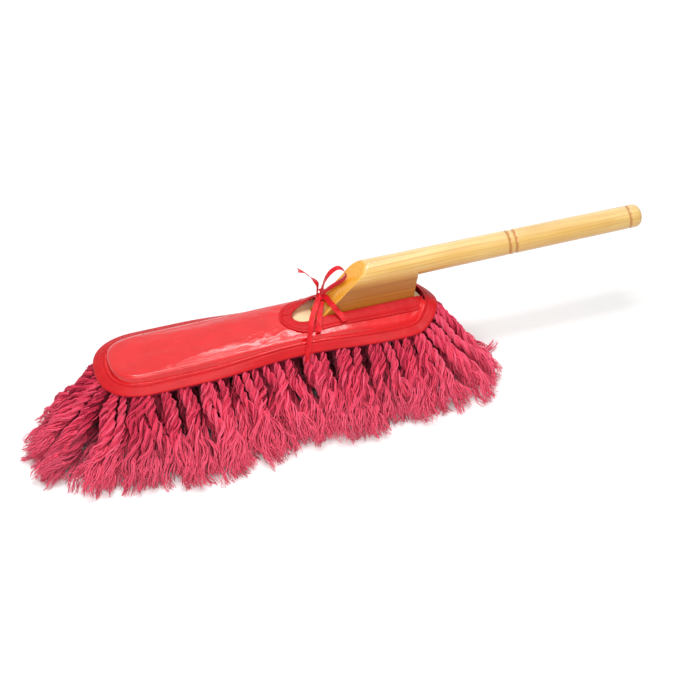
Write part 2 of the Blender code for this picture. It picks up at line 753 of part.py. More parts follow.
def ribbon_shape(route, thickness):
    """Flat ribbon along a route of places and the directions of its width."""
    places = curve_through([Vector(place) * MM for place, _ in route], RIBBON_STEPS)
    widths = curve_through([Vector(width) for _, width in route], RIBBON_STEPS)
    rings = []
    for index, place in enumerate(places):
        ahead = places[min(index + 1, len(places) - 1)]
        run = (ahead - places[max(index - 1, 0)]).normalized()
        across = (widths[index] - run * widths[index].dot(run)).normalized()
        lift = run.cross(across) * (thickness / 2.0)
        across *= RIBBON_WIDTH / 2.0
        low = [place - lift - across, place - lift + across]
        high = [place + lift + across, place + lift - across]
        rings.append(low + high)
    return skin(rings)


def knot_shape():
    """Small flattened knot that lies across the sloped face."""
    shape = bmesh.new()
    bmesh.ops.create_icosphere(shape, subdivisions=2, radius=1.0)
    up_slope = Vector((1.0, 0.0, 1.0)).normalized()
    off_slope = Vector((-1.0, 0.0, 1.0)).normalized()
    across = Vector((0.0, 1.0, 0.0))
    for vert in shape.verts:
        x, y, z = vert.co
        level = up_slope * (x * KNOT_HALF_WIDTH) + across * (y * KNOT_HALF_LENGTH)
        vert.co = level + off_slope * (z * KNOT_HALF_HEIGHT)
    return shape


# Ribbon routes: places in millimetres from the foot of the slope, chosen by hand, each with the
# direction of the width
NEAR_STRAP = (
    ((30.1, 2.2, 32.2), (0.7, 0.1, 0.7)),
    ((30.7, -6.0, 32.5), (0.7, 0.1, 0.7)),
    ((31.6, -13.4, 33.9), (0.75, 0.1, 0.65)),
    ((33.4, -16.2, 31.0), (0.85, -0.1, 0.5)),
    ((36.4, -18.0, 26.8), (0.9, -0.2, 0.35)),
    ((38.5, -21.5, 24.2), (0.95, 0.2, 0.1)),
    ((39.5, -25.5, 22.9), (0.95, 0.2, 0.1)),
)
FAR_STRAP = (
    ((29.1, 14.4, 32.4), (0.8, 0.0, 0.6)),
    ((29.5, 17.5, 32.0), (0.95, 0.0, 0.2)),
    ((29.5, 21.5, 30.9), (0.97, 0.0, 0.1)),
)
LOOP_UP = (
    ((25.0, 7.4, 34.5), (0.1, 1.0, 0.1)),
    ((27.4, 7.2, 43.5), (0.1, 1.0, 0.1)),
    ((30.5, 7.0, 54.0), (0.1, 1.0, 0.0)),
    ((36.7, 5.2, 64.2), (0.0, 1.0, 0.2)),
    ((43.7, 3.4, 68.8), (0.0, 1.0, 0.2)),
    ((49.3, 2.2, 65.2), (0.0, 1.0, 0.1)),
    ((51.5, 1.4, 58.6), (0.0, 1.0, 0.0)),
    ((47.7, 2.6, 51.8), (0.1, 1.0, 0.1)),
    ((39.7, 7.2, 43.6), (0.1, 1.0, 0.1)),
    ((32.1, 9.6, 37.2), (0.1, 1.0, 0.1)),
    ((27.8, 9.7, 33.7), (0.1, 1.0, 0.1)),
)
TAIL_UP = (
    ((22.3, 11.0, 33.5), (0.3, 0.9, 0.1)),
    ((22.7, 10.6, 40.0), (0.3, 0.9, 0.2)),
    ((22.3, 10.0, 47.8), (0.3, 0.9, 0.2)),
    ((15.5, 9.6, 57.4), (0.5, 0.8, 0.4)),
    ((7.7, 9.2, 67.8), (0.3, 0.8, 0.6)),
    ((0.5, 9.0, 72.4), (0.1, 0.9, 0.4)),
)
TAIL_DOWN = (
    ((22.1, 5.6, 33.2), (0.9, 0.3, 0.3)),
    ((18.1, -1.0, 31.6), (0.9, 0.3, 0.2)),
    ((12.9, -9.0, 29.0), (0.95, 0.3, 0.1)),
    ((7.7, -17.0, 26.6), (0.95, 0.3, 0.0)),
    ((3.1, -25.5, 22.8), (0.95, 0.3, 0.0)),
    ((-0.5, -33.0, 17.0), (0.95, 0.3, 0.0)),
    ((-3.9, -39.5, 10.0), (0.95, 0.3, 0.0)),
    ((-7.1, -45.5, 1.6), (0.95, 0.3, 0.0)),
    ((-9.1, -49.0, -6.0), (0.95, 0.3, 0.0)),
)
LOOP_DOWN = (
    ((24.3, 2.0, 29.2), (0.9, 0.2, 0.3)),
    ((21.5, -3.0, 27.4), (0.95, 0.2, 0.2)),
    ((18.3, -10.0, 25.2), (0.98, 0.2, 0.1)),
    ((15.3, -17.5, 23.9), (0.98, 0.2, 0.0)),
    ((11.9, -26.0, 21.6), (0.98, 0.2, 0.0)),
    ((9.7, -32.0, 17.4), (0.98, 0.2, 0.0)),
)


def build_handle(parent):
    """Grip, neck and pilot holes in one piece of wood."""
    handle = add_object("handle", neck_shape(), parent, LACQUERED_PINE)
    axis = (0.0, 0.0, GRIP_AXIS_HEIGHT)
    shape = turned(grip_profile(), GRIP_SIDES, (1.0, 0.0, 0.0))
    combine(handle, add_object("grip_guide", shape, parent, location=axis), "UNION")
    combine(handle, add_object("slope_cutter", slope_cutter_shape(), parent), "DIFFERENCE")
    smooth_shade(handle)
    return handle


def build_board(parent):
    """Paddle board."""
    board = add_object("paddle_board", board_shape(), parent, BARE_PINE)
    smooth_shade(board)
    return board


def build_screws(parent, handle, board):
    """Countersunk screws up through the board into the neck, with their holes."""
    for number, distance in enumerate(SCREWS_FROM_NECK_REAR, start=1):
        location = (NECK_REAR_X - distance, 0.0, BOARD_BOTTOM + SCREW_SINK)
        shape = turned(screw_profile(0.0, 0.0), SCREW_SIDES, UP)
        screw = add_object(f"neck_screw_{number}", shape, parent, ZINC_STEEL, location)
        smooth_shade(screw)
        shape = turned(screw_profile(SEAT_GAP, CUT_OVERRUN), SCREW_SIDES, UP)
        hole = add_object(f"screw_hole_{number}", shape, parent, location=location)
        combine(board, hole, "DIFFERENCE")
        combine(handle, hole, "DIFFERENCE")


def build_cover(parent, rim):
    """Top panel, its bindings and the canvas backing."""
    lines = panel_lines(rim)
    panel = add_object("top_panel", top_panel_shape(lines), parent, RED_VINYL)
    wall = panel.modifiers.new("thickness", "SOLIDIFY")
    wall.thickness = PANEL_THICKNESS
    wall.offset = -1.0
    smooth_shade(panel)
    add_object("slit_binding", slit_binding_shape(lines), parent, RED_TAPE)
    smooth_shade(add_object("edge_binding", edge_binding_shape(rim), parent, RED_TAPE))
    add_object("mop_backing", backing_shape(rim), parent, BACKING_CLOTH)


def build_fringe(parent, rim):
    """Fringe in four zones, each with its strip of backing."""
    for order, (zone, first, last, step) in enumerate(ZONES):
        strip = fringe_header(rim, first, last, step)
        header = add_object(f"strands_{zone}", strip, parent, STRAND_COTTON)
        strands = fringe_strands(rim, zone, first, last, random.Random(order))
        combine(header, add_object(f"strand_guide_{zone}", strands, parent), "UNION")


def build_under_rows(parent):
    """Rows of strands under the board."""
    for number, row_y in enumerate(UNDER_ROW_YS, start=1):
        header = add_object(f"strands_under_{number}", under_header(row_y), parent, STRAND_COTTON)
        strands = under_strands(row_y, random.Random(UNDER_SEED + number))
        combine(header, add_object(f"under_guide_{number}", strands, parent), "UNION")


def build_tie(parent):
    """Knot, straps, loops and tails of the tie."""
    off_slope = Vector((-1.0, 0.0, 1.0)).normalized()
    seat = Vector((SLOPE_X + KNOT_UP_SLOPE, KNOT_Y, KNOT_UP_SLOPE))
    knot_place = seat + off_slope * (KNOT_HALF_HEIGHT + SEAT_GAP)
    smooth_shade(add_object("tie_knot", knot_shape(), parent, RIBBON_SATIN, knot_place))
    pieces = (
        ("tie_strap_near", NEAR_STRAP, 1.0),
        ("tie_strap_far", FAR_STRAP, 1.0),
        ("tie_loop_up", LOOP_UP, 1.0),
        ("tie_tail_up", TAIL_UP, 1.0),
        ("tie_tail_down", TAIL_DOWN, 1.0),
        ("tie_loop_down", LOOP_DOWN, 2.0),
    )
    for name, route, layers in pieces:
        shape = ribbon_shape(route, RIBBON_THICKNESS * layers)
        add_object(name, shape, parent, RIBBON_SATIN, (SLOPE_X, 0.0, 0.0))


def stand_on_floor(root):
    """Move everything so that the origin is the middle of the footprint, on the floor."""
    graph = bpy.context.evaluated_depsgraph_get()
    corners = []
    for item in bpy.data.objects:
        if item.type == "MESH" and not item.hide_render:
            found = item.evaluated_get(graph)
            corners += [found.matrix_world @ vert.co for vert in found.data.vertices]
    low = Vector([min(corner[axis] for corner in corners) for axis in range(3)])
    high = Vector([max(corner[axis] for corner in corners) for axis in range(3)])
    root.location = (-(low.x + high.x) / 2.0, -(low.y + high.y) / 2.0, -low.z)


def main():
    """Build the whole duster."""
    clear_scene()
    root = bpy.data.objects.new("duster_root", None)
    bpy.context.scene.collection.objects.link(root)
    rim = Rim(RIM_STATIONS)
    handle = build_handle(root)
    board = build_board(root)
    build_screws(root, handle, board)
    build_cover(root, rim)
    build_fringe(root, rim)
    build_under_rows(root)
    build_tie(root)
    stand_on_floor(root)


main()
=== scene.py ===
"""Car duster: the looks of every surface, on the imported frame.

Sizes are in millimetres in the cover's own frame, whose zero is the toe of the cover in the plane
of its edge, with +X to the butt of the handle and +Z up. Placement turns them into metres in the
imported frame.
"""

from __future__ import annotations

import logging
import math
import random
from dataclasses import dataclass, field
from enum import Enum
from functools import cache

import bmesh
import bpy
from bpy.types import ID, Material, Node, NodeSocket, NodeTree, Object, World
from mathutils import Euler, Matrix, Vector, noise

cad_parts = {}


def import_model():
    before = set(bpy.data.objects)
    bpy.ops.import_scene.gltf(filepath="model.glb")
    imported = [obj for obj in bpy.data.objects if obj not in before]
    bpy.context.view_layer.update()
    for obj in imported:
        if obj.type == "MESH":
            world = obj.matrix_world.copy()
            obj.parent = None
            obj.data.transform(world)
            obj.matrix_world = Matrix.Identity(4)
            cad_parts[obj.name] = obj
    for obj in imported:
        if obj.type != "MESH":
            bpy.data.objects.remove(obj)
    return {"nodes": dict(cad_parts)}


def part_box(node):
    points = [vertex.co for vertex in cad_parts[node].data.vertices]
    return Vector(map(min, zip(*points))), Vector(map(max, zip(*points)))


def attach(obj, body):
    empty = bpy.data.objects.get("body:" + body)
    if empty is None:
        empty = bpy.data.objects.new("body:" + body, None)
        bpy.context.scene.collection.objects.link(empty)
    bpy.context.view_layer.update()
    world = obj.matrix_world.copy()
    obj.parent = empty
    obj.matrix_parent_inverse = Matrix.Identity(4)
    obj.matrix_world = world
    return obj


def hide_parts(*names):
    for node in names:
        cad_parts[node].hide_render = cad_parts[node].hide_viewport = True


MM = 0.001
UP = Vector((0.0, 0.0, 1.0))
BODY = "root"
WHITE = (1.0, 1.0, 1.0)
NOISE_MIDDLE = (0.5, 0.5, 0.5)
SHARP_FROM = math.radians(50.0)

log = logging.getLogger("duster")

Colour = tuple[float, float, float]
Triple = tuple[float, float, float]
Pair = tuple[float, float]
Feed = "Wire | float | int | tuple | str"
Ring = list[Vector]


class Slot(Enum):
    """Material slots of the record, named with the pieces here but not given to them."""

    LACQUERED_PINE = "lacquered_pine"
    RED_VINYL = "red_vinyl"
    RED_TAPE = "red_tape"
    BACKING_CLOTH = "backing_cloth"
    STRAND_COTTON = "strand_cotton"
    RIBBON_SATIN = "ribbon_satin"


class FarEnd(Enum):
    """What the end of a free ribbon is."""

    BARE = "bare"
    OBJECT = "object"


# Shape helpers


def smooth_step(share: float) -> float:
    """Ease a share between 0 and 1."""
    share = min(max(share, 0.0), 1.0)
    return share * share * (3.0 - 2.0 * share)


def swell(place: float, middle: float, half_length: float) -> float:
    """Rise from 0 to 1 and fall back to 0 around a middle place."""
    share = (place - middle) / half_length
    return math.cos(share * math.pi / 2.0) ** 2 if abs(share) < 1.0 else 0.0


def mix(low, high, share: float):
    """Blend two numbers or vectors."""
    return low + (high - low) * share


def stops(low, high, steps: int) -> list:
    """Even stops from one number or point up to the last one before another."""
    return [mix(low, high, step / steps) for step in range(steps)]


def quarter_turn(steps: int) -> list[Pair]:
    """Sine and cosine at even steps of a quarter turn, from its start to its end."""
    angles = [math.pi / 2.0 * step / steps for step in range(steps + 1)]
    return [(math.sin(angle), math.cos(angle)) for angle in angles]


def ripple(x: float, y: float = 0.0, z: float = 0.0) -> float:
    """Smooth noise between about -1 and 1, the same at each run."""
    return noise.noise(Vector((x, y, z)))


def curve_through(points: list[Vector], steps: int) -> list[Vector]:
    """Run a smooth line through points.

    Args:
        points: Points that the line passes.
        steps: Number of steps between two of them.

    Returns:
        The points of the line.
    """
    ends = [points[0] * 2.0 - points[1]] + points + [points[-1] * 2.0 - points[-2]]
    line = []
    for a, b, c, d in zip(ends, ends[1:], ends[2:], ends[3:]):
        for t in stops(0.0, 1.0, steps):
            line.append(0.5 * (
                b * 2.0 + (c - a) * t + (a * 2.0 - b * 5.0 + c * 4.0 - d) * t * t
                + (b * 3.0 - a - c * 3.0 + d) * t * t * t
            ))
    line.append(points[-1].copy())
    return line


def resample(points: list[Vector], count: int, closed: bool = False) -> list[Vector]:
    """Space points evenly along a line.

    Args:
        points: The line.
        count: Number of points wanted.
        closed: True for a line that returns to its start.

    Returns:
        The evenly spaced points.
    """
    line = points + points[:1] if closed else points
    lengths = [0.0]
    for first, second in zip(line, line[1:]):
        lengths.append(lengths[-1] + (second - first).length)
    steps = count if closed else count - 1
    spaced = []
    place = 0
    for index in range(count):
        wanted = lengths[-1] * index / steps
        while place < len(lengths) - 2 and lengths[place + 1] < wanted:
            place += 1
        share = (wanted - lengths[place]) / (lengths[place + 1] - lengths[place])
        spaced.append(mix(line[place], line[place + 1], share))
    return spaced


def path_length(points: list[Vector]) -> float:
    """Length of a line through points."""
    return sum((second - first).length for first, second in zip(points, points[1:]))


def add_object(name: str, data: ID) -> Object:
    """Put a mesh, a lamp or a camera in the scene as an object."""
    item = bpy.data.objects.new(name, data)
    bpy.context.scene.collection.objects.link(item)
    return item


@dataclass(frozen=True)
class Placement:
    """Where the cover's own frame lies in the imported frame."""

    zero: Vector
    board_toe: float = 19.5
    board_bottom: float = -0.9

    @classmethod
    def from_board(cls) -> Placement:
        """Work the placement out from the paddle board's box."""
        low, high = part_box("paddle_board")
        toe = low.x - cls.board_toe * MM
        middle = (low.y + high.y) / 2.0
        return cls(Vector((toe, middle, low.z - cls.board_bottom * MM)))

    def point(self, spot: Vector) -> Vector:
        """Turn a spot in the cover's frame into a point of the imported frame."""
        return self.zero + spot * MM

    def points(self, spots: list[Vector]) -> list[Vector]:
        """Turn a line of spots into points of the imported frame."""
        return [self.point(spot) for spot in spots]


class Piece:
    """A mesh under construction, in the cover's frame."""

    def __init__(self, name: str, placement: Placement) -> None:
        """Start an empty piece.

        Args:
            name: Name of its object.
            placement: Where the cover's frame lies.
        """
        self.name = name
        self.placement = placement
        self.shape = bmesh.new()
        self.cloth_map = self.shape.loops.layers.uv.new("cloth")

    def verts(self, spots: list[Vector]) -> list[bmesh.types.BMVert]:
        """Add a vertex at each spot."""
        return [self.shape.verts.new(self.placement.point(spot)) for spot in spots]

    def loft(self, rings: list[Ring], closed: bool = False) -> None:
        """Join rings of points, each with the same count, into a closed surface.

        The cloth map runs round the rings from 0 to 1 and along them in metres.

        Args:
            rings: The rings in order.
            closed: True to join the last ring to the first, else both ends are capped.
        """
        loops = [self.verts(ring) for ring in rings]
        count = len(loops[0])
        runs = [0.0]
        for first, second in zip(rings, rings[1:] + rings[:1]):
            runs.append(runs[-1] + (second[0] - first[0]).length * MM)
        for step in range(len(loops) if closed else len(loops) - 1):
            first, second = loops[step], loops[(step + 1) % len(loops)]
            for side in range(count):
                after = (side + 1) % count
                corners = (first[side], first[after], second[after], second[side])
                face = self.shape.faces.new(corners)
                for loop, (across, along) in zip(face.loops, ((0, 0), (1, 0), (1, 1), (0, 1))):
                    loop[self.cloth_map].uv = ((side + across) / count, runs[step + along])
        if not closed:
            self.shape.faces.new(list(reversed(loops[0])))
            self.shape.faces.new(loops[-1])

    def sheet(self, columns: list[Ring]) -> None:
        """Join columns of points into an open sheet."""
        loops = [self.verts(column) for column in columns]
        for first, second in zip(loops, loops[1:]):
            for row in range(len(first) - 1):
                self.shape.faces.new((first[row], second[row], second[row + 1], first[row + 1]))

    def finish(self, material: Material, upward: bool = False) -> Object:
        """Turn the mesh into an object with a finish.

        Args:
            material: Its finish.
            upward: True for an open sheet whose outer side is the upper one.

        Returns:
            The object, shaded smooth.
        """
        bmesh.ops.recalc_face_normals(self.shape, faces=self.shape.faces)
        if upward and sum(face.normal.z for face in self.shape.faces) < 0.0:
            bmesh.ops.reverse_faces(self.shape, faces=self.shape.faces)
        mesh = bpy.data.meshes.new(self.name)
        self.shape.to_mesh(mesh)
        self.shape.free()
        mesh.materials.append(material)
        mesh.shade_smooth()
        mesh.set_sharp_from_angle(angle=SHARP_FROM)
        return add_object(self.name, mesh)


def dress(item: Object, slot: Slot, *nodes: str) -> Object:
    """Put a finished piece on the body.

    Args:
        item: The piece.
        slot: The record's slot that its finish comes from; not used.
        *nodes: CAD nodes that it stands for.

    Returns:
        The piece.
    """
    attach(item, BODY)
    if nodes:
        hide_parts(*nodes)
    log.info("%s: %d faces", item.name, len(item.data.polygons))
    return item


# Node helpers


class Wire:
    """Output of a node, whose arithmetic adds further nodes to its sheet."""

    def __init__(self, sheet: NodeSheet, socket: NodeSocket) -> None:
        """Take up an output."""
        self.sheet = sheet
        self.socket = socket

    def combined(self, operation: str, other: Feed) -> Wire:
        """Work out a number or a vector with another one."""
        if self.socket.type in ("VALUE", "INT"):
            return self.sheet.maths(operation, self, other)
        return self.sheet.out("ShaderNodeVectorMath", {0: self, 1: other}, operation=operation)

    def __add__(self, other: Feed) -> Wire:
        """Add a number or a vector."""
        return self.combined("ADD", other)

    def __sub__(self, other: Feed) -> Wire:
        """Take away a number or a vector."""
        return self.combined("SUBTRACT", other)

    def __mul__(self, other: Feed) -> Wire:
        """Multiply by a number or a vector."""
        return self.combined("MULTIPLY", other)

    def __truediv__(self, other: Feed) -> Wire:
        """Divide by a number."""
        return self.combined("DIVIDE", other)

    def __abs__(self) -> Wire:
        """Size of a number without its sign."""
        return self.sheet.maths("ABSOLUTE", self)

    def scaled(self, factor: Feed) -> Wire:
        """Multiply a vector by a number."""
        return self.sheet.out("ShaderNodeVectorMath", {0: self, 3: factor}, operation="SCALE")

    def split(self) -> tuple[Wire, ...]:
        """Give the three parts of a vector."""
        return tuple(self.sheet.outs("ShaderNodeSeparateXYZ", {0: self}).values())

    def eased(self, low: float, high: float) -> Wire:
        """Ease a value from 0 at a low place to 1 at a high one."""
        feeds = {0: self, 1: low, 2: high}
        return self.sheet.out("ShaderNodeMapRange", feeds, interpolation_type="SMOOTHSTEP")

    def ranged(self, low: float, high: float, out_low: float, out_high: float) -> Wire:
        """Carry a value from one range to another."""
        feeds = {0: self, 1: low, 2: high, 3: out_low, 4: out_high}
        return self.sheet.out("ShaderNodeMapRange", feeds)

    def between(self, out_low: float, out_high: float) -> Wire:
        """Carry a share from 0 to 1 to another range."""
        return self.ranged(0.0, 1.0, out_low, out_high)


class NodeSheet:
    """One node tree, with a short way to add nodes to it."""

    def __init__(self, tree: NodeTree) -> None:
        """Take up a tree."""
        self.tree = tree

    def add(self, kind: str, feeds: dict | None = None, **settings: object) -> Node:
        """Add a node.

        Args:
            kind: Blender's name for the node.
            feeds: A value, or an output of another node, for each input by number or name.
            **settings: Settings of the node itself.

        Returns:
            The node.
        """
        node = self.tree.nodes.new(kind)
        for name, value in settings.items():
            setattr(node, name, value)
        for key, value in (feeds or {}).items():
            self.feed(node.inputs[key], value)
        return node

    def out(
        self, kind: str, feeds: dict | None = None, output: int | str = 0, **settings: object,
    ) -> Wire:
        """Add a node and give one of its outputs."""
        return Wire(self, self.add(kind, feeds, **settings).outputs[output])

    def outs(self, kind: str, feeds: dict | None = None, **settings: object) -> dict[str, Wire]:
        """Add a node and give its outputs by name."""
        node = self.add(kind, feeds, **settings)
        return {socket.name: Wire(self, socket) for socket in node.outputs}

    def feed(self, socket: NodeSocket, value: Feed) -> None:
        """Link a socket, or give it a value; a colour gets full cover."""
        if isinstance(value, Wire):
            self.tree.links.new(value.socket, socket)
        elif socket.type == "RGBA":
            socket.default_value = (*value, 1.0)
        else:
            socket.default_value = value

    def maths(self, operation: str, *values: Feed) -> Wire:
        """Add a Math node and give its output."""
        return self.out("ShaderNodeMath", dict(enumerate(values)), operation=operation)

    def vector(self, *parts: Feed) -> Wire:
        """Put a vector together."""
        return self.out("ShaderNodeCombineXYZ", dict(enumerate(parts)))

    def noise(self, place: Wire, scale: Feed, detail: float, output: int | str = 0) -> Wire:
        """Add a Noise Texture and give its value or its colour."""
        feeds = {"Vector": place, "Scale": scale, "Detail": detail}
        return self.out("ShaderNodeTexNoise", feeds, output)

    def blend(self, share: Feed, first: Feed, second: Feed) -> Wire:
        """Mix two colours."""
        return self.out("ShaderNodeMix", {0: share, 6: first, 7: second}, 2, data_type="RGBA")

    def mark(self, name: str) -> Wire:
        """Read a value that a mesh stores, in a material."""
        return self.out("ShaderNodeAttribute", output="Fac", attribute_name=name)

    def socket(self, name: str, kind: str, out: bool = False) -> None:
        """Give the tree a named input or output."""
        side = "OUTPUT" if out else "INPUT"
        self.tree.interface.new_socket(name=name, in_out=side, socket_type=f"NodeSocket{kind}")


def effect_sheet(
    name: str, inputs: tuple[str, ...], outputs: tuple[str, ...],
) -> tuple[NodeSheet, dict[str, Wire]]:
    """Start a shader node group.

    Args:
        name: Name of the group.
        inputs: Names of its numbers, besides the place that it reads from.
        outputs: Names of its outputs.

    Returns:
        The sheet of the group, and its inputs by name.
    """
    sheet = NodeSheet(bpy.data.node_groups.new(name, "ShaderNodeTree"))
    sheet.socket("Vector", "Vector")
    for label in inputs:
        sheet.socket(label, "Float")
    for label in outputs:
        sheet.socket(label, "Float", out=True)
    return sheet, sheet.outs("NodeGroupInput")


class SurfaceEffects:
    """Shader node groups that more than one finish uses, each built once."""

    def __init__(self) -> None:
        """Build every group."""
        self.rings = self.build_rings()
        self.weave = self.build_weave()
        self.mottle = self.build_mottle()

    @staticmethod
    def build_rings() -> NodeTree:
        """Growth rings of sawn pine that lie level, with fine streaks along the grain."""
        sheet, given = effect_sheet("growth_rings", ("Spacing", "Waviness"), ("Ring", "Streak"))
        place = given["Vector"]
        _, across, height = place.split()
        drift = sheet.noise(place * (5.0, 22.0, 26.0), 1.0, 2.0)
        streak = sheet.noise(place * (14.0, 260.0, 260.0), 1.0, 3.0)
        kink = sheet.noise(place * (3.0, 45.0, 130.0), 1.0, 1.0)
        bowed = across * across * 6.0 + height
        turns = bowed / given["Spacing"] + (drift - 0.5) * given["Waviness"]
        share = sheet.maths("FRACT", streak * 0.35 + (kink * 2.2 + turns))
        ring = sheet.maths("POWER", share, 3.2) * share.eased(1.0, 0.9)
        strength = kink.ranged(0.35, 0.68, 2.0, 0.7)
        sheet.add("NodeGroupOutput", {0: ring * strength, 1: streak})
        return sheet.tree

    @staticmethod
    def build_weave() -> NodeTree:
        """Plain weave of threads that pass over and under each other."""
        sheet, given = effect_sheet("plain_weave", ("Across", "Along"), ("Height",))
        across, along, _ = given["Vector"].split()
        warp = across * given["Across"]
        weft = along * given["Along"]
        rounds = [abs(sheet.maths("SINE", threads * math.pi)) for threads in (warp, weft)]
        cells = sheet.maths("FLOOR", warp) + sheet.maths("FLOOR", weft)
        over = sheet.maths("FLOORED_MODULO", cells, 2.0)
        height = rounds[0] * over + rounds[1] * sheet.maths("SUBTRACT", 1.0, over)
        sheet.add("NodeGroupOutput", {0: height})
        return sheet.tree

    @staticmethod
    def build_mottle() -> NodeTree:
        """Soft patches and fine grit, for uneven colour, gloss and surface."""
        sheet, given = effect_sheet("mottle", ("Patch", "Grit"), ("Patches", "Grain"))
        feeds = {"Vector": given["Vector"], "Scale": given["Patch"]}
        patches = sheet.out("ShaderNodeTexNoise", {**feeds, "Detail": 3.0, "Roughness": 0.55})
        grain = sheet.noise(given["Vector"], given["Grit"], 2.0)
        sheet.add("NodeGroupOutput", {0: patches.eased(0.28, 0.72), 1: grain})
        return sheet.tree


class Coating:
    """A material under construction: its sheet, its shader and where its patterns read from."""

    def __init__(self, name: str, effects: SurfaceEffects, source: str = "Object") -> None:
        """Start a material.

        Args:
            name: Name of the material.
            effects: The shared node groups.
            source: Texture coordinate that its patterns follow.
        """
        self.material = bpy.data.materials.new(name)
        self.material.use_nodes = True
        self.effects = effects
        self.sheet = NodeSheet(self.material.node_tree)
        self.shader = self.material.node_tree.nodes["Principled BSDF"]
        self.solid = self.sheet.out("ShaderNodeTexCoord", output="Object")
        self.place = self.sheet.out("ShaderNodeTexCoord", output=source)

    def group(self, tree: NodeTree, place: Wire, **feeds: Feed) -> dict[str, Wire]:
        """Place a shared effect and give its outputs."""
        return self.sheet.outs("ShaderNodeGroup", {"Vector": place, **feeds}, node_tree=tree)

    def mottle(self, patch: float, grit: float) -> dict[str, Wire]:
        """Patches and grain, each with its fineness."""
        return self.group(self.effects.mottle, self.solid, Patch=patch, Grit=grit)

    def weave(self, across: float, along: float) -> Wire:
        """Height of a plain weave with its threads to the metre, or to the cloth map's unit."""
        return self.group(self.effects.weave, self.place, Across=across, Along=along)["Height"]

    def bump(self, height: Feed, depth: float, strength: float = 1.0, under: Feed = None) -> Wire:
        """Turn a height between 0 and 1 into a normal."""
        feeds = {"Height": height, "Distance": depth, "Strength": strength}
        if under is not None:
            feeds["Normal"] = under
        return self.sheet.out("ShaderNodeBump", feeds)

    def settle(
        self, colour: Feed, roughness: Feed, normal: Feed, **plain: float,
    ) -> Material:
        """Feed the shader and give the material.

        Args:
            colour: Base colour.
            roughness: Roughness.
            normal: Normal from a Bump node.
            **plain: Values of the shader's own sockets, with _ for spaces in their names.

        Returns:
            The finished material.
        """
        feeds = {"Base Color": colour, "Roughness": roughness, "Normal": normal}
        for name, value in feeds.items():
            self.sheet.feed(self.shader.inputs[name], value)
        for name, value in plain.items():
            self.shader.inputs[name.replace("_", " ")].default_value = value
        return self.material


def gritty(grain: Wire, low: float, high: float) -> Wire:
    """Roughness that follows a grain, whose values crowd round one half."""
    return grain.ranged(0.3, 0.7, low, high)


@dataclass(frozen=True)
class HandleMarks:
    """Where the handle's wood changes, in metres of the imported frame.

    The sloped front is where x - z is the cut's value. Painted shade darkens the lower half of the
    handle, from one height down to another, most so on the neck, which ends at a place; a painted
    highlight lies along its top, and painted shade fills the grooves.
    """

    cut: float
    shade_from: float
    shade_to: float
    neck_end: float
    grooves: tuple[float, ...]
    groove_half_width: float


@dataclass(frozen=True)
class PineFinish:
    """Sawn pine, lacquered or bare."""

    name: str
    pale: Colour
    warm: Colour
    line: Colour
    spacing: float
    roughness: float
    coat: float
    contrast: float = 0.5
    marks: HandleMarks | None = None
    golden: Colour = (0.92, 0.44, 0.025)
    # Colours of the painted shade on the handle's lower half, with its darker ring lines, and of
    # the painted highlight along its top.
    shade_brown: Colour = (0.48, 0.175, 0.006)
    highlight_cream: Colour = (1.0, 0.78, 0.40)
    shade_line: Colour = (0.34, 0.105, 0.012)
    face_line: Colour = (0.72, 0.29, 0.012)

    def make(self, effects: SurfaceEffects) -> Material:
        """Build the material."""
        coating = Coating(self.name, effects)
        sheet = coating.sheet
        rings = coating.group(effects.rings, coating.place, Spacing=self.spacing, Waviness=1.5)
        mottle = coating.mottle(16.0, 700.0)
        ground = sheet.blend(mottle["Patches"], self.pale, self.warm)
        x, _, z = coating.place.split()
        line, contrast, marks = self.line, self.contrast, self.marks
        if marks:
            face = (x - z - marks.cut).eased(0.0024, 0.0004)
            on_neck = x.eased(marks.neck_end, marks.neck_end - 0.008)
            # Painted shade: the lower half darkens, with darker and stronger rings, most of all on
            # the neck.
            low = z.eased(marks.shade_from, marks.shade_to) * on_neck.between(0.76, 0.97)
            # Painted highlight: a pale band along the top of the handle.
            high = z.eased(marks.shade_from + 0.006, marks.shade_from + 0.013)
            ground = sheet.blend(high * 0.55, ground, self.highlight_cream)
            ground = sheet.blend(low, ground, self.shade_brown)
            ground = sheet.blend(face * 0.85, ground, self.golden)
            line = sheet.blend(face, sheet.blend(low, line, self.shade_line), self.face_line)
            contrast = low.ranged(0.0, 0.9, self.contrast, 0.8)
        streaky = sheet.blend(rings["Streak"].ranged(0.35, 0.75, 0.0, 0.30), ground, line)
        colour = sheet.blend(rings["Ring"] * contrast, streaky, line)
        # Painted shade in the ring grooves, in the grain lines' colour and wider than the cut
        # grooves.
        for place in marks.grooves if marks else ():
            near = abs(x - place).eased(marks.groove_half_width, 0.3 * marks.groove_half_width)
            colour = sheet.blend(near * 0.85, colour, self.line)
        rough = gritty(mottle["Grain"], self.roughness - 0.04, self.roughness + 0.06)
        return coating.settle(
            colour, rough, coating.bump(rings["Streak"], 0.00006, 0.5),
            Coat_Weight=self.coat, Coat_Roughness=0.2, Specular_IOR_Level=0.15,
        )


@dataclass(frozen=True)
class SteelFinish:
    """Zinc-plated steel."""

    name: str = "zinc_plate"
    colour: Colour = (0.55, 0.56, 0.56)
    yellowed: Colour = (0.72, 0.71, 0.66)

    def make(self, effects: SurfaceEffects) -> Material:
        """Build the material."""
        coating = Coating(self.name, effects)
        mottle = coating.mottle(220.0, 2500.0)
        colour = coating.sheet.blend(mottle["Patches"], self.colour, self.yellowed)
        rough = gritty(mottle["Grain"], 0.28, 0.45)
        return coating.settle(colour, rough, coating.bump(mottle["Grain"], 0.00004), Metallic=1.0)


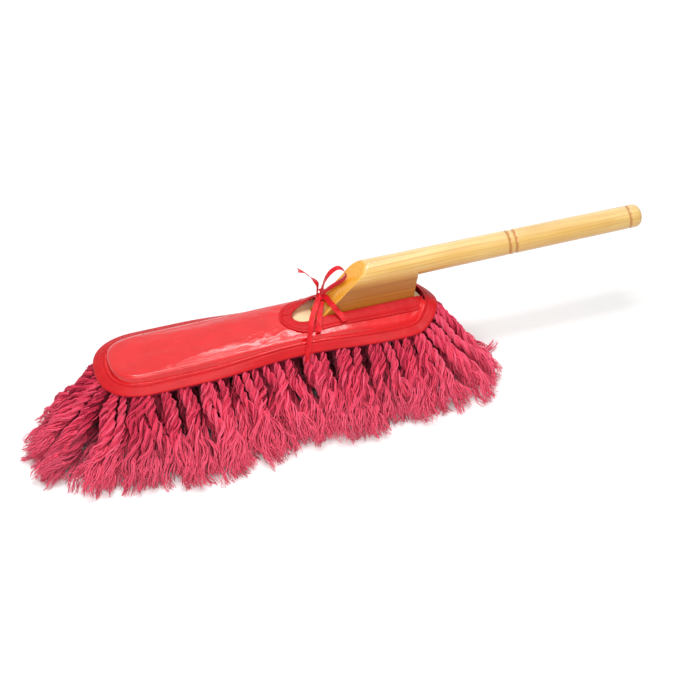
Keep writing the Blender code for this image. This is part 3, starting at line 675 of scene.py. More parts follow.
@dataclass(frozen=True)
class VinylFinish:
    """Glossy red vinyl with a fine pebbled grain, duller from one place to another."""

    name: str = "glossy_vinyl"
    colour: Colour = (0.79, 0.010, 0.014)
    deep: Colour = (0.70, 0.007, 0.010)
    dull_from: float = -0.010
    dull_to: float = 0.040

    def make(self, effects: SurfaceEffects) -> Material:
        """Build the material."""
        coating = Coating(self.name, effects)
        sheet = coating.sheet
        along, _, _ = coating.place.split()
        dull = along.eased(self.dull_from, self.dull_to)
        sheet.feed(coating.shader.inputs["Coat Weight"], dull.between(0.5, 0.08))
        mottle = coating.mottle(40.0, 1500.0)
        colour = sheet.blend(mottle["Patches"], self.colour, self.deep)
        feeds = {"Vector": coating.place, "Scale": 1100.0}
        pebbles = sheet.out("ShaderNodeTexVoronoi", feeds, "Distance")
        grain = coating.bump(pebbles, 0.00003, 0.35)
        dimpled = coating.bump(coating.mottle(130.0, 1500.0)["Patches"], 0.0004, 0.6, grain)
        soft = coating.bump(mottle["Patches"], 0.0004, 0.6, dimpled)
        rough = dull * 0.22 + gritty(mottle["Grain"], 0.17, 0.23)
        return coating.settle(colour, rough, soft, Specular_IOR_Level=0.32, Coat_Roughness=0.12)


@dataclass(frozen=True)
class TapeFinish:
    """Plain woven cloth, with its threads to the metre."""

    name: str
    colour: Colour
    deep: Colour
    threads: float
    roughness: float
    depth: float = 0.00008

    def make(self, effects: SurfaceEffects) -> Material:
        """Build the material."""
        coating = Coating(self.name, effects)
        sheet = coating.sheet
        height = coating.weave(self.threads, self.threads)
        mottle = coating.mottle(60.0, 1200.0)
        worn = sheet.blend(mottle["Patches"] * 0.6, self.colour, self.deep)
        # Painted shade in the recesses between the threads.
        colour = sheet.blend(height.ranged(0.0, 0.6, 0.5, 0.0), worn, self.deep)
        rough = gritty(mottle["Grain"], self.roughness - 0.06, self.roughness + 0.08)
        return coating.settle(
            colour, rough, coating.bump(height, self.depth, 0.8),
            Sheen_Weight=0.04, Sheen_Roughness=0.4, Specular_IOR_Level=0.2,
        )


@dataclass(frozen=True)
class CottonFinish:
    """Dyed cotton yarn with its own tint, painted shade deep in its bundles and at its root, and
    painted light at its tip.
    """

    name: str = "dyed_cotton"
    pale: Colour = (1.0, 0.140, 0.240)
    body: Colour = (0.94, 0.064, 0.138)
    deep: Colour = (0.40, 0.012, 0.044)
    shade_colour: Colour = (0.022, 0.0012, 0.003)

    def make(self, effects: SurfaceEffects) -> Material:
        """Build the material."""
        coating = Coating(self.name, effects)
        sheet = coating.sheet
        tint = sheet.mark("yarn_tint")
        along = sheet.mark("yarn_along")
        mottle = coating.mottle(45.0, 900.0)
        # Painted shade: tints below zero, from the shade that each yarn stores, run towards near
        # black.
        colour = sheet.blend(tint.ranged(-0.45, 0.0, 0.0, 1.0), self.shade_colour, self.deep)
        colour = sheet.blend(tint.ranged(0.0, 0.5, 0.0, 1.0), colour, self.body)
        colour = sheet.blend(tint.ranged(0.5, 1.0, 0.0, 1.0), colour, self.pale)
        colour = sheet.blend(mottle["Patches"] * 0.15, colour, self.body)
        # Painted shade at the root, under the binding; painted light towards the tip, where the
        # fringe lies open.
        colour = sheet.blend(along.ranged(0.0, 0.5, 0.24, 0.0), colour, self.deep)
        colour = sheet.blend(along.eased(0.35, 0.95) * 0.72, colour, self.pale)
        return coating.settle(
            colour, 0.9, coating.bump(mottle["Grain"], 0.0003, 0.7),
            Sheen_Weight=0.05, Sheen_Roughness=0.5, Specular_IOR_Level=0.1,
        )


@dataclass(frozen=True)
class SatinFinish:
    """Satin ribbon with fine ribs across and a pale frayed end."""

    name: str = "ribbon_weave"
    colour: Colour = (0.80, 0.010, 0.020)
    deep: Colour = (0.62, 0.005, 0.013)
    frayed: Colour = (0.86, 0.55, 0.52)

    def make(self, effects: SurfaceEffects) -> Material:
        """Build the material."""
        coating = Coating(self.name, effects, "UV")
        sheet = coating.sheet
        height = coating.weave(28.0, 2600.0)
        mottle = coating.mottle(150.0, 1600.0)
        ground = sheet.blend(mottle["Patches"], self.colour, self.deep)
        # Painted shade in the recesses between the ribs.
        ribs = sheet.blend(height.ranged(0.0, 0.5, 0.35, 0.0), ground, self.deep)
        colour = sheet.blend(sheet.mark("frayed"), ribs, self.frayed)
        return coating.settle(
            colour, gritty(mottle["Grain"], 0.36, 0.5), coating.bump(height, 0.00006, 0.7),
            Sheen_Weight=0.04, Sheen_Roughness=0.35, Specular_IOR_Level=0.3,
        )


# Cover


@dataclass(frozen=True)
class CoverSizes:
    """Driving sizes of the cover, as in the part's source."""

    length: float = 380.0
    half_width: float = 52.0
    toe_reach: float = 56.0
    heel_reach: float = 52.0
    oval_power: float = 2.4
    waist_x: float = 214.0
    waist_half_length: float = 112.0
    waist_depth: float = 8.5
    heel_rise: float = 14.0
    heel_rise_length: float = 34.0
    slack_length: float = 62.0
    slack_ease: float = 40.0
    slack_near: float = 26.0
    slack_width: float = 52.0
    slack_drop: float = 7.5
    slack_draw_x: float = 3.5
    slack_draw_y: float = 5.0
    slack_tape_draw: float = 2.0
    slack_tape_rise: float = 5.25
    tape_half: float = 1.1
    tape_inset: float = 13.6
    tape_rise: float = 4.6
    tape_waist_inset: float = 9.0
    tape_waist_rise: float = 9.0
    wall_run: float = 3.5
    wall_far_run: float = 8.8
    wall_waist_run: float = 1.5
    wall_heel_run: float = 1.0
    crown_height: float = 13.0
    crown_lift: float = 0.8
    crown_rounding: float = 1.5
    dome: float = 1.6
    slit_front_x: float = 217.0
    slit_front_reach: float = 18.0
    slit_half_width: float = 14.3
    slit_edge_height: float = 20.0
    slit_front_height: float = 16.5
    far_lift: float = 8.0
    far_lift_x: float = 252.0
    far_lift_half_length: float = 36.0
    slit_tape_width: float = 13.5
    slit_tape_thickness: float = 1.5
    slit_tape_seat: float = 0.6
    slit_end_margin: float = 3.0


class Rim:
    """The cover's edge as even stations, from the middle of the heel round the far side."""

    def __init__(self, sizes: CoverSizes, count: int) -> None:
        """Lay out the stations.

        Args:
            sizes: Sizes of the cover.
            count: Number of stations.
        """
        self.sizes = sizes
        self.points = resample(self.outline(), count, closed=True)
        self.normals = []
        for index in range(count):
            run = self.points[(index + 1) % count] - self.points[index - 1]
            self.normals.append(Vector((run.y, -run.x, 0.0)).normalized())
        self.perimeter = path_length(self.points + self.points[:1])

    def outline(self) -> list[Vector]:
        """Outline of the edge: a long oval with a waist."""
        sizes = self.sizes
        half, power = sizes.half_width, 2.0 / sizes.oval_power
        arc = [Vector((cosine ** power, sine ** power)) for sine, cosine in quarter_turn(60)]
        side_end = sizes.length - sizes.heel_reach
        far = [Vector((side_end + sizes.heel_reach * x, half * y, 0.0)) for x, y in arc]
        far += [Vector((x, half, 0.0)) for x in stops(side_end, sizes.toe_reach, 80)[1:]]
        far += [Vector((sizes.toe_reach * (1.0 - x), half * y, 0.0)) for x, y in reversed(arc)]
        near = [Vector((p.x, -p.y, 0.0)) for p in reversed(far[1:-1])]
        for point in far + near:
            point.y *= 1.0 - sizes.waist_depth / half * self.waist(point.x)
            slack = self.heel_slack(point)
            point.x -= sizes.slack_draw_x * slack
            point.y -= sizes.slack_draw_y * slack * max(point.y, 0.0) / half
        return far + near

    def heel_slack(self, spot: Vector) -> float:
        """Tell how far a spot lies in the heel's far corner, which hangs lower, from 0 to 1."""
        sizes = self.sizes
        back = smooth_step((spot.x - sizes.length + sizes.slack_length) / sizes.slack_ease)
        return back * smooth_step((spot.y + sizes.slack_near) / sizes.slack_width)

    def waist(self, place: float) -> float:
        """Tell how far a place along the cover is drawn in, from 0 to 1."""
        return swell(place, self.sizes.waist_x, self.sizes.waist_half_length)

    def rise(self, spot: Vector) -> float:
        """Height of the edge, which climbs over the heel of the board."""
        start = self.sizes.length - self.sizes.heel_rise_length
        climb = smooth_step((spot.x - start) / self.sizes.heel_rise_length)
        return (self.sizes.heel_rise - self.sizes.slack_drop * self.heel_slack(spot)) * climb

    def place(self, index: int, inset: float, height: float) -> Vector:
        """Point inside the edge by an inset and above it by a height."""
        point = self.points[index] - self.normals[index] * inset
        return Vector((point.x, point.y, self.rise(self.points[index]) + height))

    def tape_end(self, index: int) -> Pair:
        """Inset and height of the edge binding's inner side."""
        drawn = self.waist(self.points[index].x)
        slack = self.heel_slack(self.points[index])
        sizes = self.sizes
        inset = mix(sizes.tape_inset, sizes.tape_waist_inset, drawn)
        rise = mix(sizes.tape_rise, sizes.tape_waist_rise, drawn)
        return inset - sizes.slack_tape_draw * slack, rise + sizes.slack_tape_rise * slack


class PanelLine:
    """One line of the top panel, from the edge binding over the crown to the opening."""

    def __init__(self, rim: Rim, index: int) -> None:
        """Lay out the line at a station of the rim."""
        sizes = rim.sizes
        self.sizes = sizes
        inset, rise = rim.tape_end(index)
        run = mix(sizes.wall_run, sizes.wall_far_run, max(rim.normals[index].y, 0.0) ** 2)
        run = mix(run, sizes.wall_waist_run, rim.waist(rim.points[index].x))
        run = mix(run, sizes.wall_heel_run, rim.heel_slack(rim.points[index]))
        foot_inset = inset + sizes.tape_half
        self.foot = rim.place(index, foot_inset, rise)
        top = max(sizes.crown_height, self.foot.z + sizes.crown_lift)
        crown = rim.place(index, foot_inset + run, 0.0)
        self.rounding = min(sizes.crown_rounding, (top - self.foot.z) / 2.0)
        self.crown = Vector((crown.x, crown.y, top))
        self.edge = self.opening_edge()
        self.inward = Vector((self.edge.x - self.crown.x, self.edge.y - self.crown.y, 0.0))
        self.run = self.inward.length
        self.inward.normalize()

    def opening_height(self, place: float, side: float) -> float:
        """Height of the opening's edge, lifted on the far side where the tie draws it up."""
        sizes = self.sizes
        front = smooth_step((place - sizes.slit_front_x) / (2.0 * sizes.slit_front_reach))
        height = mix(sizes.slit_front_height, sizes.slit_edge_height, front)
        if side > 0.0:
            height += sizes.far_lift * swell(place, sizes.far_lift_x, sizes.far_lift_half_length)
        return height

    def opening_edge(self) -> Vector:
        """Point of the opening's edge that faces the crown."""
        sizes = self.sizes
        side = 1.0 if self.crown.y >= 0.0 else -1.0
        centre = sizes.slit_front_x + sizes.slit_front_reach
        if self.crown.x >= centre:
            height = self.opening_height(self.crown.x, side)
            return Vector((self.crown.x, side * sizes.slit_half_width, height))
        direction = Vector((self.crown.x - centre, self.crown.y)).normalized()
        across = direction.y / sizes.slit_half_width
        reach = 1.0 / math.hypot(direction.x / sizes.slit_front_reach, across)
        place = centre + direction.x * reach
        return Vector((place, direction.y * reach, self.opening_height(place, direction.y)))

    def top(self, share: float) -> Vector:
        """Point on the top, from the crown at 0 to the opening at 1."""
        point = mix(self.crown, self.edge, share)
        dome = self.sizes.dome * min(self.run / self.sizes.half_width, 1.0)
        return point + UP * (dome * math.sin(math.pi * share))


@dataclass(frozen=True)
class Crease:
    """Creases of one kind in the vinyl: their size along and across, and their strength."""

    length: float
    width: float
    start: float
    strength: float


@dataclass
class Cover:
    """Mop cover without its fringe: vinyl top, two bindings with their stitches, canvas."""

    placement: Placement
    effects: SurfaceEffects
    sizes: CoverSizes = field(default_factory=CoverSizes)
    stations: int = 300
    vinyl_thickness: float = 1.2
    tuck: float = 3.0
    wall_rows: int = 4
    shoulder_share: float = 0.45
    arc_rows: int = 4
    arc_end: float = 0.035
    arc_bulge: float = 0.25
    top_rows: int = 16
    wrinkle: float = 0.6
    broad: Crease = Crease(31.0, 17.0, 3.1, 0.8)
    fine: Crease = Crease(12.0, 9.0, 7.7, 0.5)
    dents: Crease = Crease(8.0, 6.5, 1.3, 0.8)
    dented_x: float = 205.0
    dented_half_length: float = 95.0
    crown_fade: float = 0.12
    opening_fade: float = 0.1
    calm_x: float = 290.0
    calm_ease: float = 40.0
    calming: float = 0.7
    flat_x: float = 262.0
    flat_ease: float = 60.0
    flatness: float = 0.55
    far_flatness: float = 0.3
    puff: float = 0.55
    puff_power: float = 0.6
    seam_share: float = 0.80
    seam_depth: float = 0.75
    seam_half_width: float = 0.07
    faint_share: float = 0.34
    faint_depth: float = 0.16
    faint_half_width: float = 0.06
    gathers: Pair = (0.22, 0.42)
    edge_gathering: float = 2.0
    edge_thinning: float = 0.35
    edge_shares: tuple[float, ...] = (
        0.08, 0.18, 0.28, 0.34, 0.40, 0.52, 0.64, 0.73, 0.77, 0.80, 0.83, 0.87, 0.94, 1.0,
    )
    slit_plumpness: float = 0.9
    slit_thinning: float = 0.6
    slit_fold: float = 0.7
    slit_shares: tuple[float, ...] = (
        0.0, 0.12, 0.26, 0.42, 0.58, 0.70, 0.76, 0.80, 0.84, 0.91, 1.0,
    )
    tape_ends: tuple[Pair, ...] = ((4.0, 0.2), (4.0, 0.6), (3.5, 1.2))
    stitch_length: float = 2.3
    stitch_pitch: float = 3.3
    stitch_radius: float = 0.3
    canvas_top: float = -1.2
    canvas_thickness: float = 2.0
    canvas_rim_inset: float = 2.0
    canvas_rim_drop: float = 0.6
    canvas_flat_inset: float = 12.0
    canvas_middle: Pair = (40.0, 340.0)
    canvas_sag: float = 0.3
    canvas_sag_length: float = 14.0

    def __post_init__(self) -> None:
        """Lay out the rim, the panel's lines and the finishes."""
        sizes = self.sizes
        self.rim = Rim(sizes, self.stations)
        margin = sizes.slit_half_width + sizes.slit_end_margin
        lines = [PanelLine(self.rim, index) for index in range(self.stations)]
        self.lines = [line for line in lines
                      if abs(line.crown.y) > margin or line.crown.x < sizes.slit_front_x]
        canvas = ("backing_canvas", (0.34, 0.016, 0.050), (0.20, 0.008, 0.026))
        self.tape, self.thread, self.canvas = [look.make(self.effects) for look in (
            TapeFinish("edge_tape", (0.64, 0.010, 0.015), (0.50, 0.006, 0.011), 620.0, 0.42),
            TapeFinish("seam_thread", (0.52, 0.006, 0.012), (0.36, 0.004, 0.010), 2400.0, 0.6),
            TapeFinish(*canvas, 700.0, 0.85, 0.00025),
        )]

    def wrinkles(self, spot: Vector, share: float) -> float:
        """Height of the vinyl's soft creases at a spot, which fade towards the crown."""
        broad, fine, dents = [
            kind.strength * ripple(spot.x / kind.length, spot.y / kind.width, kind.start)
            for kind in (self.broad, self.fine, self.dents)
        ]
        fade = smooth_step(share / self.crown_fade)
        fade *= smooth_step((1.0 - share) / self.opening_fade)
        fade *= 1.0 - self.calming * smooth_step((spot.x - self.calm_x) / self.calm_ease)
        dented = swell(spot.x, self.dented_x, self.dented_half_length)
        return self.wrinkle * fade * (broad + fine + dents * dented)

    def vinyl_column(self, line: PanelLine) -> Ring:
        """Points of one line of the vinyl, from under the edge binding to the opening."""
        shoulder = mix(line.foot, line.crown, self.shoulder_share)
        shoulder.z = line.crown.z - line.rounding
        column = stops(line.foot, shoulder, self.wall_rows)
        end = line.top(self.arc_end)
        for share in stops(0.0, 1.0, self.arc_rows) + [1.0]:
            spot = mix(mix(shoulder, line.crown, share), mix(line.crown, end, share), share)
            column.append(spot + UP * (self.arc_bulge * math.sin(math.pi * share)))
        for share in stops(self.arc_end, 1.0, self.top_rows)[1:] + [1.0]:
            spot = line.top(share)
            column.append(spot + UP * self.wrinkles(spot, share))
        tucked = line.foot - line.inward * self.tuck
        return [tucked] + [self.settled(line, spot) for spot in column]

    def settled(self, line: PanelLine, spot: Vector) -> Vector:
        """Draw a spot of the panel towards the line between its bindings, at the heel."""
        flat = self.flatness * smooth_step((line.crown.x - self.flat_x) / self.flat_ease)
        if line.crown.y > 0.0:
            flat *= self.far_flatness
        share = (spot - line.foot).xy.length / (line.edge - line.foot).xy.length
        return Vector((spot.x, spot.y, mix(spot.z, mix(line.foot.z, line.edge.z, share), flat)))

    def build_vinyl(self) -> None:
        """Top panel."""
        piece = Piece("cover_vinyl", self.placement)
        piece.sheet([self.vinyl_column(line) for line in self.lines])
        item = piece.finish(VinylFinish().make(self.effects), upward=True)
        wall = item.modifiers.new("thickness", "SOLIDIFY")
        wall.thickness = self.vinyl_thickness * MM
        wall.offset = -1.0
        dress(item, Slot.RED_VINYL, "top_panel")

    def tape_lift(self, share: float) -> float:
        """Height of a puffed tape above its middle layer, with its seam pressed in."""
        puff = self.puff * math.sin(math.pi * share) ** self.puff_power
        seam = self.seam_depth * swell(share, self.seam_share, self.seam_half_width)
        faint = self.faint_depth * swell(share, self.faint_share, self.faint_half_width)
        return puff - seam - faint

    def pucker(self, index: int, side: float) -> float:
        """Small gathers along a tape, stronger on the far side."""
        place = index * self.rim.perimeter / self.stations
        wave = ripple(place / 5.0, 2.0) + 0.8 * ripple(place / 11.0, 9.0)
        near, far = self.gathers
        return wave * (far if side > 0.0 else near)

    def build_edge_binding(self) -> None:
        """Folded tape round the rim, with its seam."""
        half = self.sizes.tape_half
        middle = Vector((half, 0.0))
        rings, seam = [], []
        for index in range(self.stations):
            run = Vector(self.rim.tape_end(index)) - middle
            lift = Vector((-run.y, run.x)).normalized()
            gather = self.edge_gathering * self.pucker(index, self.rim.points[index].y)
            section = []
            for angle in stops(1.5 * math.pi, 0.5 * math.pi, 4) + [0.5 * math.pi]:
                along = run.normalized() * (math.cos(angle) * half)
                section.append(middle + along + lift * (math.sin(angle) * half))
            for share in self.edge_shares:
                height = half * mix(1.0, self.edge_thinning, share) + self.tape_lift(share)
                height += gather * share * math.sin(math.pi * share)
                section.append(middle + run * share + lift * height)
                if share == self.seam_share:
                    seam.append(self.rim.place(index, *section[-1]))
            section.append(middle + run - lift * (half * 0.8))
            section.append(middle + run * 0.5 - lift * half)
            rings.append([self.rim.place(index, *spot) for spot in section])
        piece = Piece("cover_edge_tape", self.placement)
        piece.loft(rings, closed=True)
        dress(piece.finish(self.tape), Slot.RED_TAPE, "edge_binding")
        self.build_stitches("cover_edge_stitches", seam + seam[:1])

    def build_slit_binding(self) -> None:
        """Tape along the opening's edge, with its outer seam."""
        width = self.sizes.slit_tape_width
        plump = self.slit_plumpness * self.sizes.slit_tape_thickness
        rings, seam = [], []
        for index, line in enumerate(line for line in self.lines if line.run > width + 1.0):
            gather = self.pucker(index, line.crown.y)
            low, high = [], []
            for share in self.slit_shares:
                spot = self.settled(line, line.top(1.0 - width * share / line.run))
                low.append(spot + UP * self.sizes.slit_tape_seat)
                lift = plump * mix(1.0, self.slit_thinning, share) + self.tape_lift(share)
                high.append(low[-1] + UP * (lift + gather * math.sin(math.pi * share)))
                if share == self.seam_share:
                    seam.append(high[-1].copy())
            fold = mix(low[0], high[0], 0.5) + line.inward * self.slit_fold
            rings.append(low[::-1] + [fold] + high)
        for reach, sink in self.tape_ends:
            beyond = Vector((reach, 0.0, -sink))
            rings.insert(0, [spot + beyond for spot in rings[0]])
            rings.append([spot + beyond for spot in rings[-1]])
            seam = [seam[0] + beyond] + seam + [seam[-1] + beyond]
        piece = Piece("cover_slit_tape", self.placement)
        piece.loft(rings)
        dress(piece.finish(self.tape), Slot.RED_TAPE, "slit_binding")
        self.build_stitches("cover_slit_stitches", seam)

    def build_stitches(self, name: str, seam: list[Vector]) -> None:
        """Row of stitches along a seam, made by Geometry Nodes."""
        guide = guide_object(name, [self.placement.points(seam)], {})
        values = {
            "Pitch": self.stitch_pitch * MM, "Length": self.stitch_length * MM,
            "Radius": self.stitch_radius * MM, "Finish": self.thread,
        }
        dress(run_tree(guide, stitch_tree(), values, name), Slot.RED_TAPE)

    def build_canvas(self) -> None:
        """Canvas under the board, whose rim climbs behind the heel of the board."""
        rim_height = -self.sizes.tape_half - self.canvas_rim_drop
        low, high = self.canvas_middle
        rings = []
        for index in range(0, self.stations, 2):
            flat = self.rim.place(index, self.canvas_flat_inset, 0.0)
            flat.z = self.canvas_top
            outer = self.rim.place(index, self.canvas_rim_inset, rim_height)
            middle = Vector((min(max(flat.x, low), high), 0.0, self.canvas_top))
            column = stops(outer, flat, 4) + stops(flat, middle, 6)
            under = []
            for spot in column:
                wave = ripple(spot.x / self.canvas_sag_length, spot.y / self.canvas_sag_length)
                under.append(spot + UP * (self.canvas_sag * wave - self.canvas_thickness))
            rings.append(column + under[::-1])
        piece = Piece("cover_canvas", self.placement)
        piece.loft(rings, closed=True)
        dress(piece.finish(self.canvas), Slot.BACKING_CLOTH, "mop_backing")

    def build(self) -> None:
        """Build every piece of the cover."""
        self.build_vinyl()
        self.build_edge_binding()
        self.build_slit_binding()
        self.build_canvas()


# Geometry Nodes


def guide_object(
    name: str, lines: list[list[Vector]], marks: dict[str, list[float]],
) -> Object:
    """Make an object of bare edges for a Geometry Nodes tree to follow.

    Args:
        name: Name of the object.
        lines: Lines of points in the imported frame.
        marks: A value for each line, stored on its points, by name.

    Returns:
        The object.
    """
    points = [point for line in lines for point in line]
    edges = []
    start = 0
    for line in lines:
        edges += [(start + step, start + step + 1) for step in range(len(line) - 1)]
        start += len(line)
    mesh = bpy.data.meshes.new(f"{name}_guide")
    mesh.from_pydata(points, edges, [])
    for mark, values in marks.items():
        stored = mesh.attributes.new(mark, "FLOAT", "POINT")
        spread = [value for value, line in zip(values, lines) for _ in line]
        stored.data.foreach_set("value", spread)
    return add_object(f"{name}_guide", mesh)


def run_tree(
    guide: Object, tree: NodeTree, values: dict, name: str,
) -> Object:
    """Run a Geometry Nodes tree on a guide and keep its result as a plain mesh.

    Args:
        guide: Object that the tree starts from, which is removed afterwards.
        tree: The tree.
        values: Values of its named inputs.
        name: Name of the finished object.

    Returns:
        The finished object.
    """
    step = guide.modifiers.new("nodes", "NODES")
    step.node_group = tree
    for item in tree.interface.items_tree:
        if item.in_out == "INPUT" and item.name in values:
            step[item.identifier] = values[item.name]
    graph = bpy.context.evaluated_depsgraph_get()
    mesh = bpy.data.meshes.new_from_object(guide.evaluated_get(graph))
    mesh.name = name
    bpy.data.objects.remove(guide, do_unlink=True)
    return add_object(name, mesh)


def open_tree(name: str, inputs: tuple[str, ...]) -> tuple[NodeSheet, dict[str, Wire], Wire]:
    """Start a Geometry Nodes tree that follows the guide's edges.

    Args:
        name: Name of the tree.
        inputs: Names of its numbers, besides its finish.

    Returns:
        The sheet of the tree, its inputs by name, and the guide's lines as curves.
    """
    sheet = NodeSheet(bpy.data.node_groups.new(name, "GeometryNodeTree"))
    sheet.socket("Geometry", "Geometry")
    for label in inputs:
        sheet.socket(label, "Float")
    sheet.socket("Finish", "Material")
    sheet.socket("Geometry", "Geometry", out=True)
    given = sheet.outs("NodeGroupInput")
    return sheet, given, sheet.out("GeometryNodeMeshToCurve", {"Mesh": given["Geometry"]})


def close_tree(sheet: NodeSheet, shape: Wire, finish: Wire) -> NodeTree:
    """End a Geometry Nodes tree with a smooth mesh in its finish."""
    real = sheet.out("GeometryNodeRealizeInstances", {0: shape})
    smooth = sheet.out("GeometryNodeSetShadeSmooth", {0: real})
    done = sheet.out("GeometryNodeSetMaterial", {"Geometry": smooth, "Material": finish})
    sheet.add("NodeGroupOutput", {0: done})
    return sheet.tree


@cache
def stitch_tree() -> NodeTree:
    """Geometry Nodes tree that lays stitches end to end along a line."""
    sheet, given, line = open_tree("stitches_on_line", ("Pitch", "Length", "Radius"))
    feeds = {"Curve": line, "Length": given["Pitch"]}
    places = sheet.outs("GeometryNodeCurveToPoints", feeds, mode="LENGTH")
    ball = sheet.out("GeometryNodeMeshUVSphere", {"Segments": 6, "Rings": 4, "Radius": 1.0})
    size = sheet.vector(given["Radius"], given["Radius"], given["Length"] * 0.5)
    stitch = sheet.out("GeometryNodeTransform", {"Geometry": ball, "Scale": size})
    feeds = {"Vector": places["Tangent"]}
    turned = sheet.out("FunctionNodeAlignRotationToVector", feeds, axis="Z")
    feeds = {"Points": places["Points"], "Instance": stitch, "Rotation": turned}
    return close_tree(sheet, sheet.out("GeometryNodeInstanceOnPoints", feeds), given["Finish"])


@dataclass(frozen=True)
class YarnLooks:
    """How the yarns lie in a cord: lengths in metres, places as shares of the cord."""

    plies: float = 3.0
    loose_from: float = 0.28
    loose_power: float = 1.2
    pull: Pair = (-0.2, -0.95)
    slack: float = 0.5
    uneven: float = 0.03
    core_depth: float = -0.6
    lobe_depth: float = 0.30
    tied_size: float = 0.70
    tied_to: float = 0.16
    lump_turns: float = 55.0
    lumps: Pair = (0.70, 1.32)
    ply_fray: Pair = (0.35, 1.3)
    yarn_fray: float = 0.28
    own_place: float = 0.009
    flyaway_from: float = 0.93
    flyaway_more: float = 1.6
    drift_scale: float = 30.0
    drift_least: float = 0.0009
    drift_more: float = 2.6
    curl_scale: float = 130.0
    curl_least: float = 0.0018
    curl_more: float = 0.0085
    ply_ends: Pair = (0.91, 1.0)
    yarn_ends: Pair = (0.965, 1.0)
    # Painted shade in the yarns: how it fades along the cord, between the plies and inside the
    # bundle.
    shade_fades: Pair = (0.06, 0.60)
    lobe_shade: float = 0.26
    core_shade: float = -0.35
    tint_change: float = 0.36
    taper_from: float = 0.82
    tip_size: float = 0.45


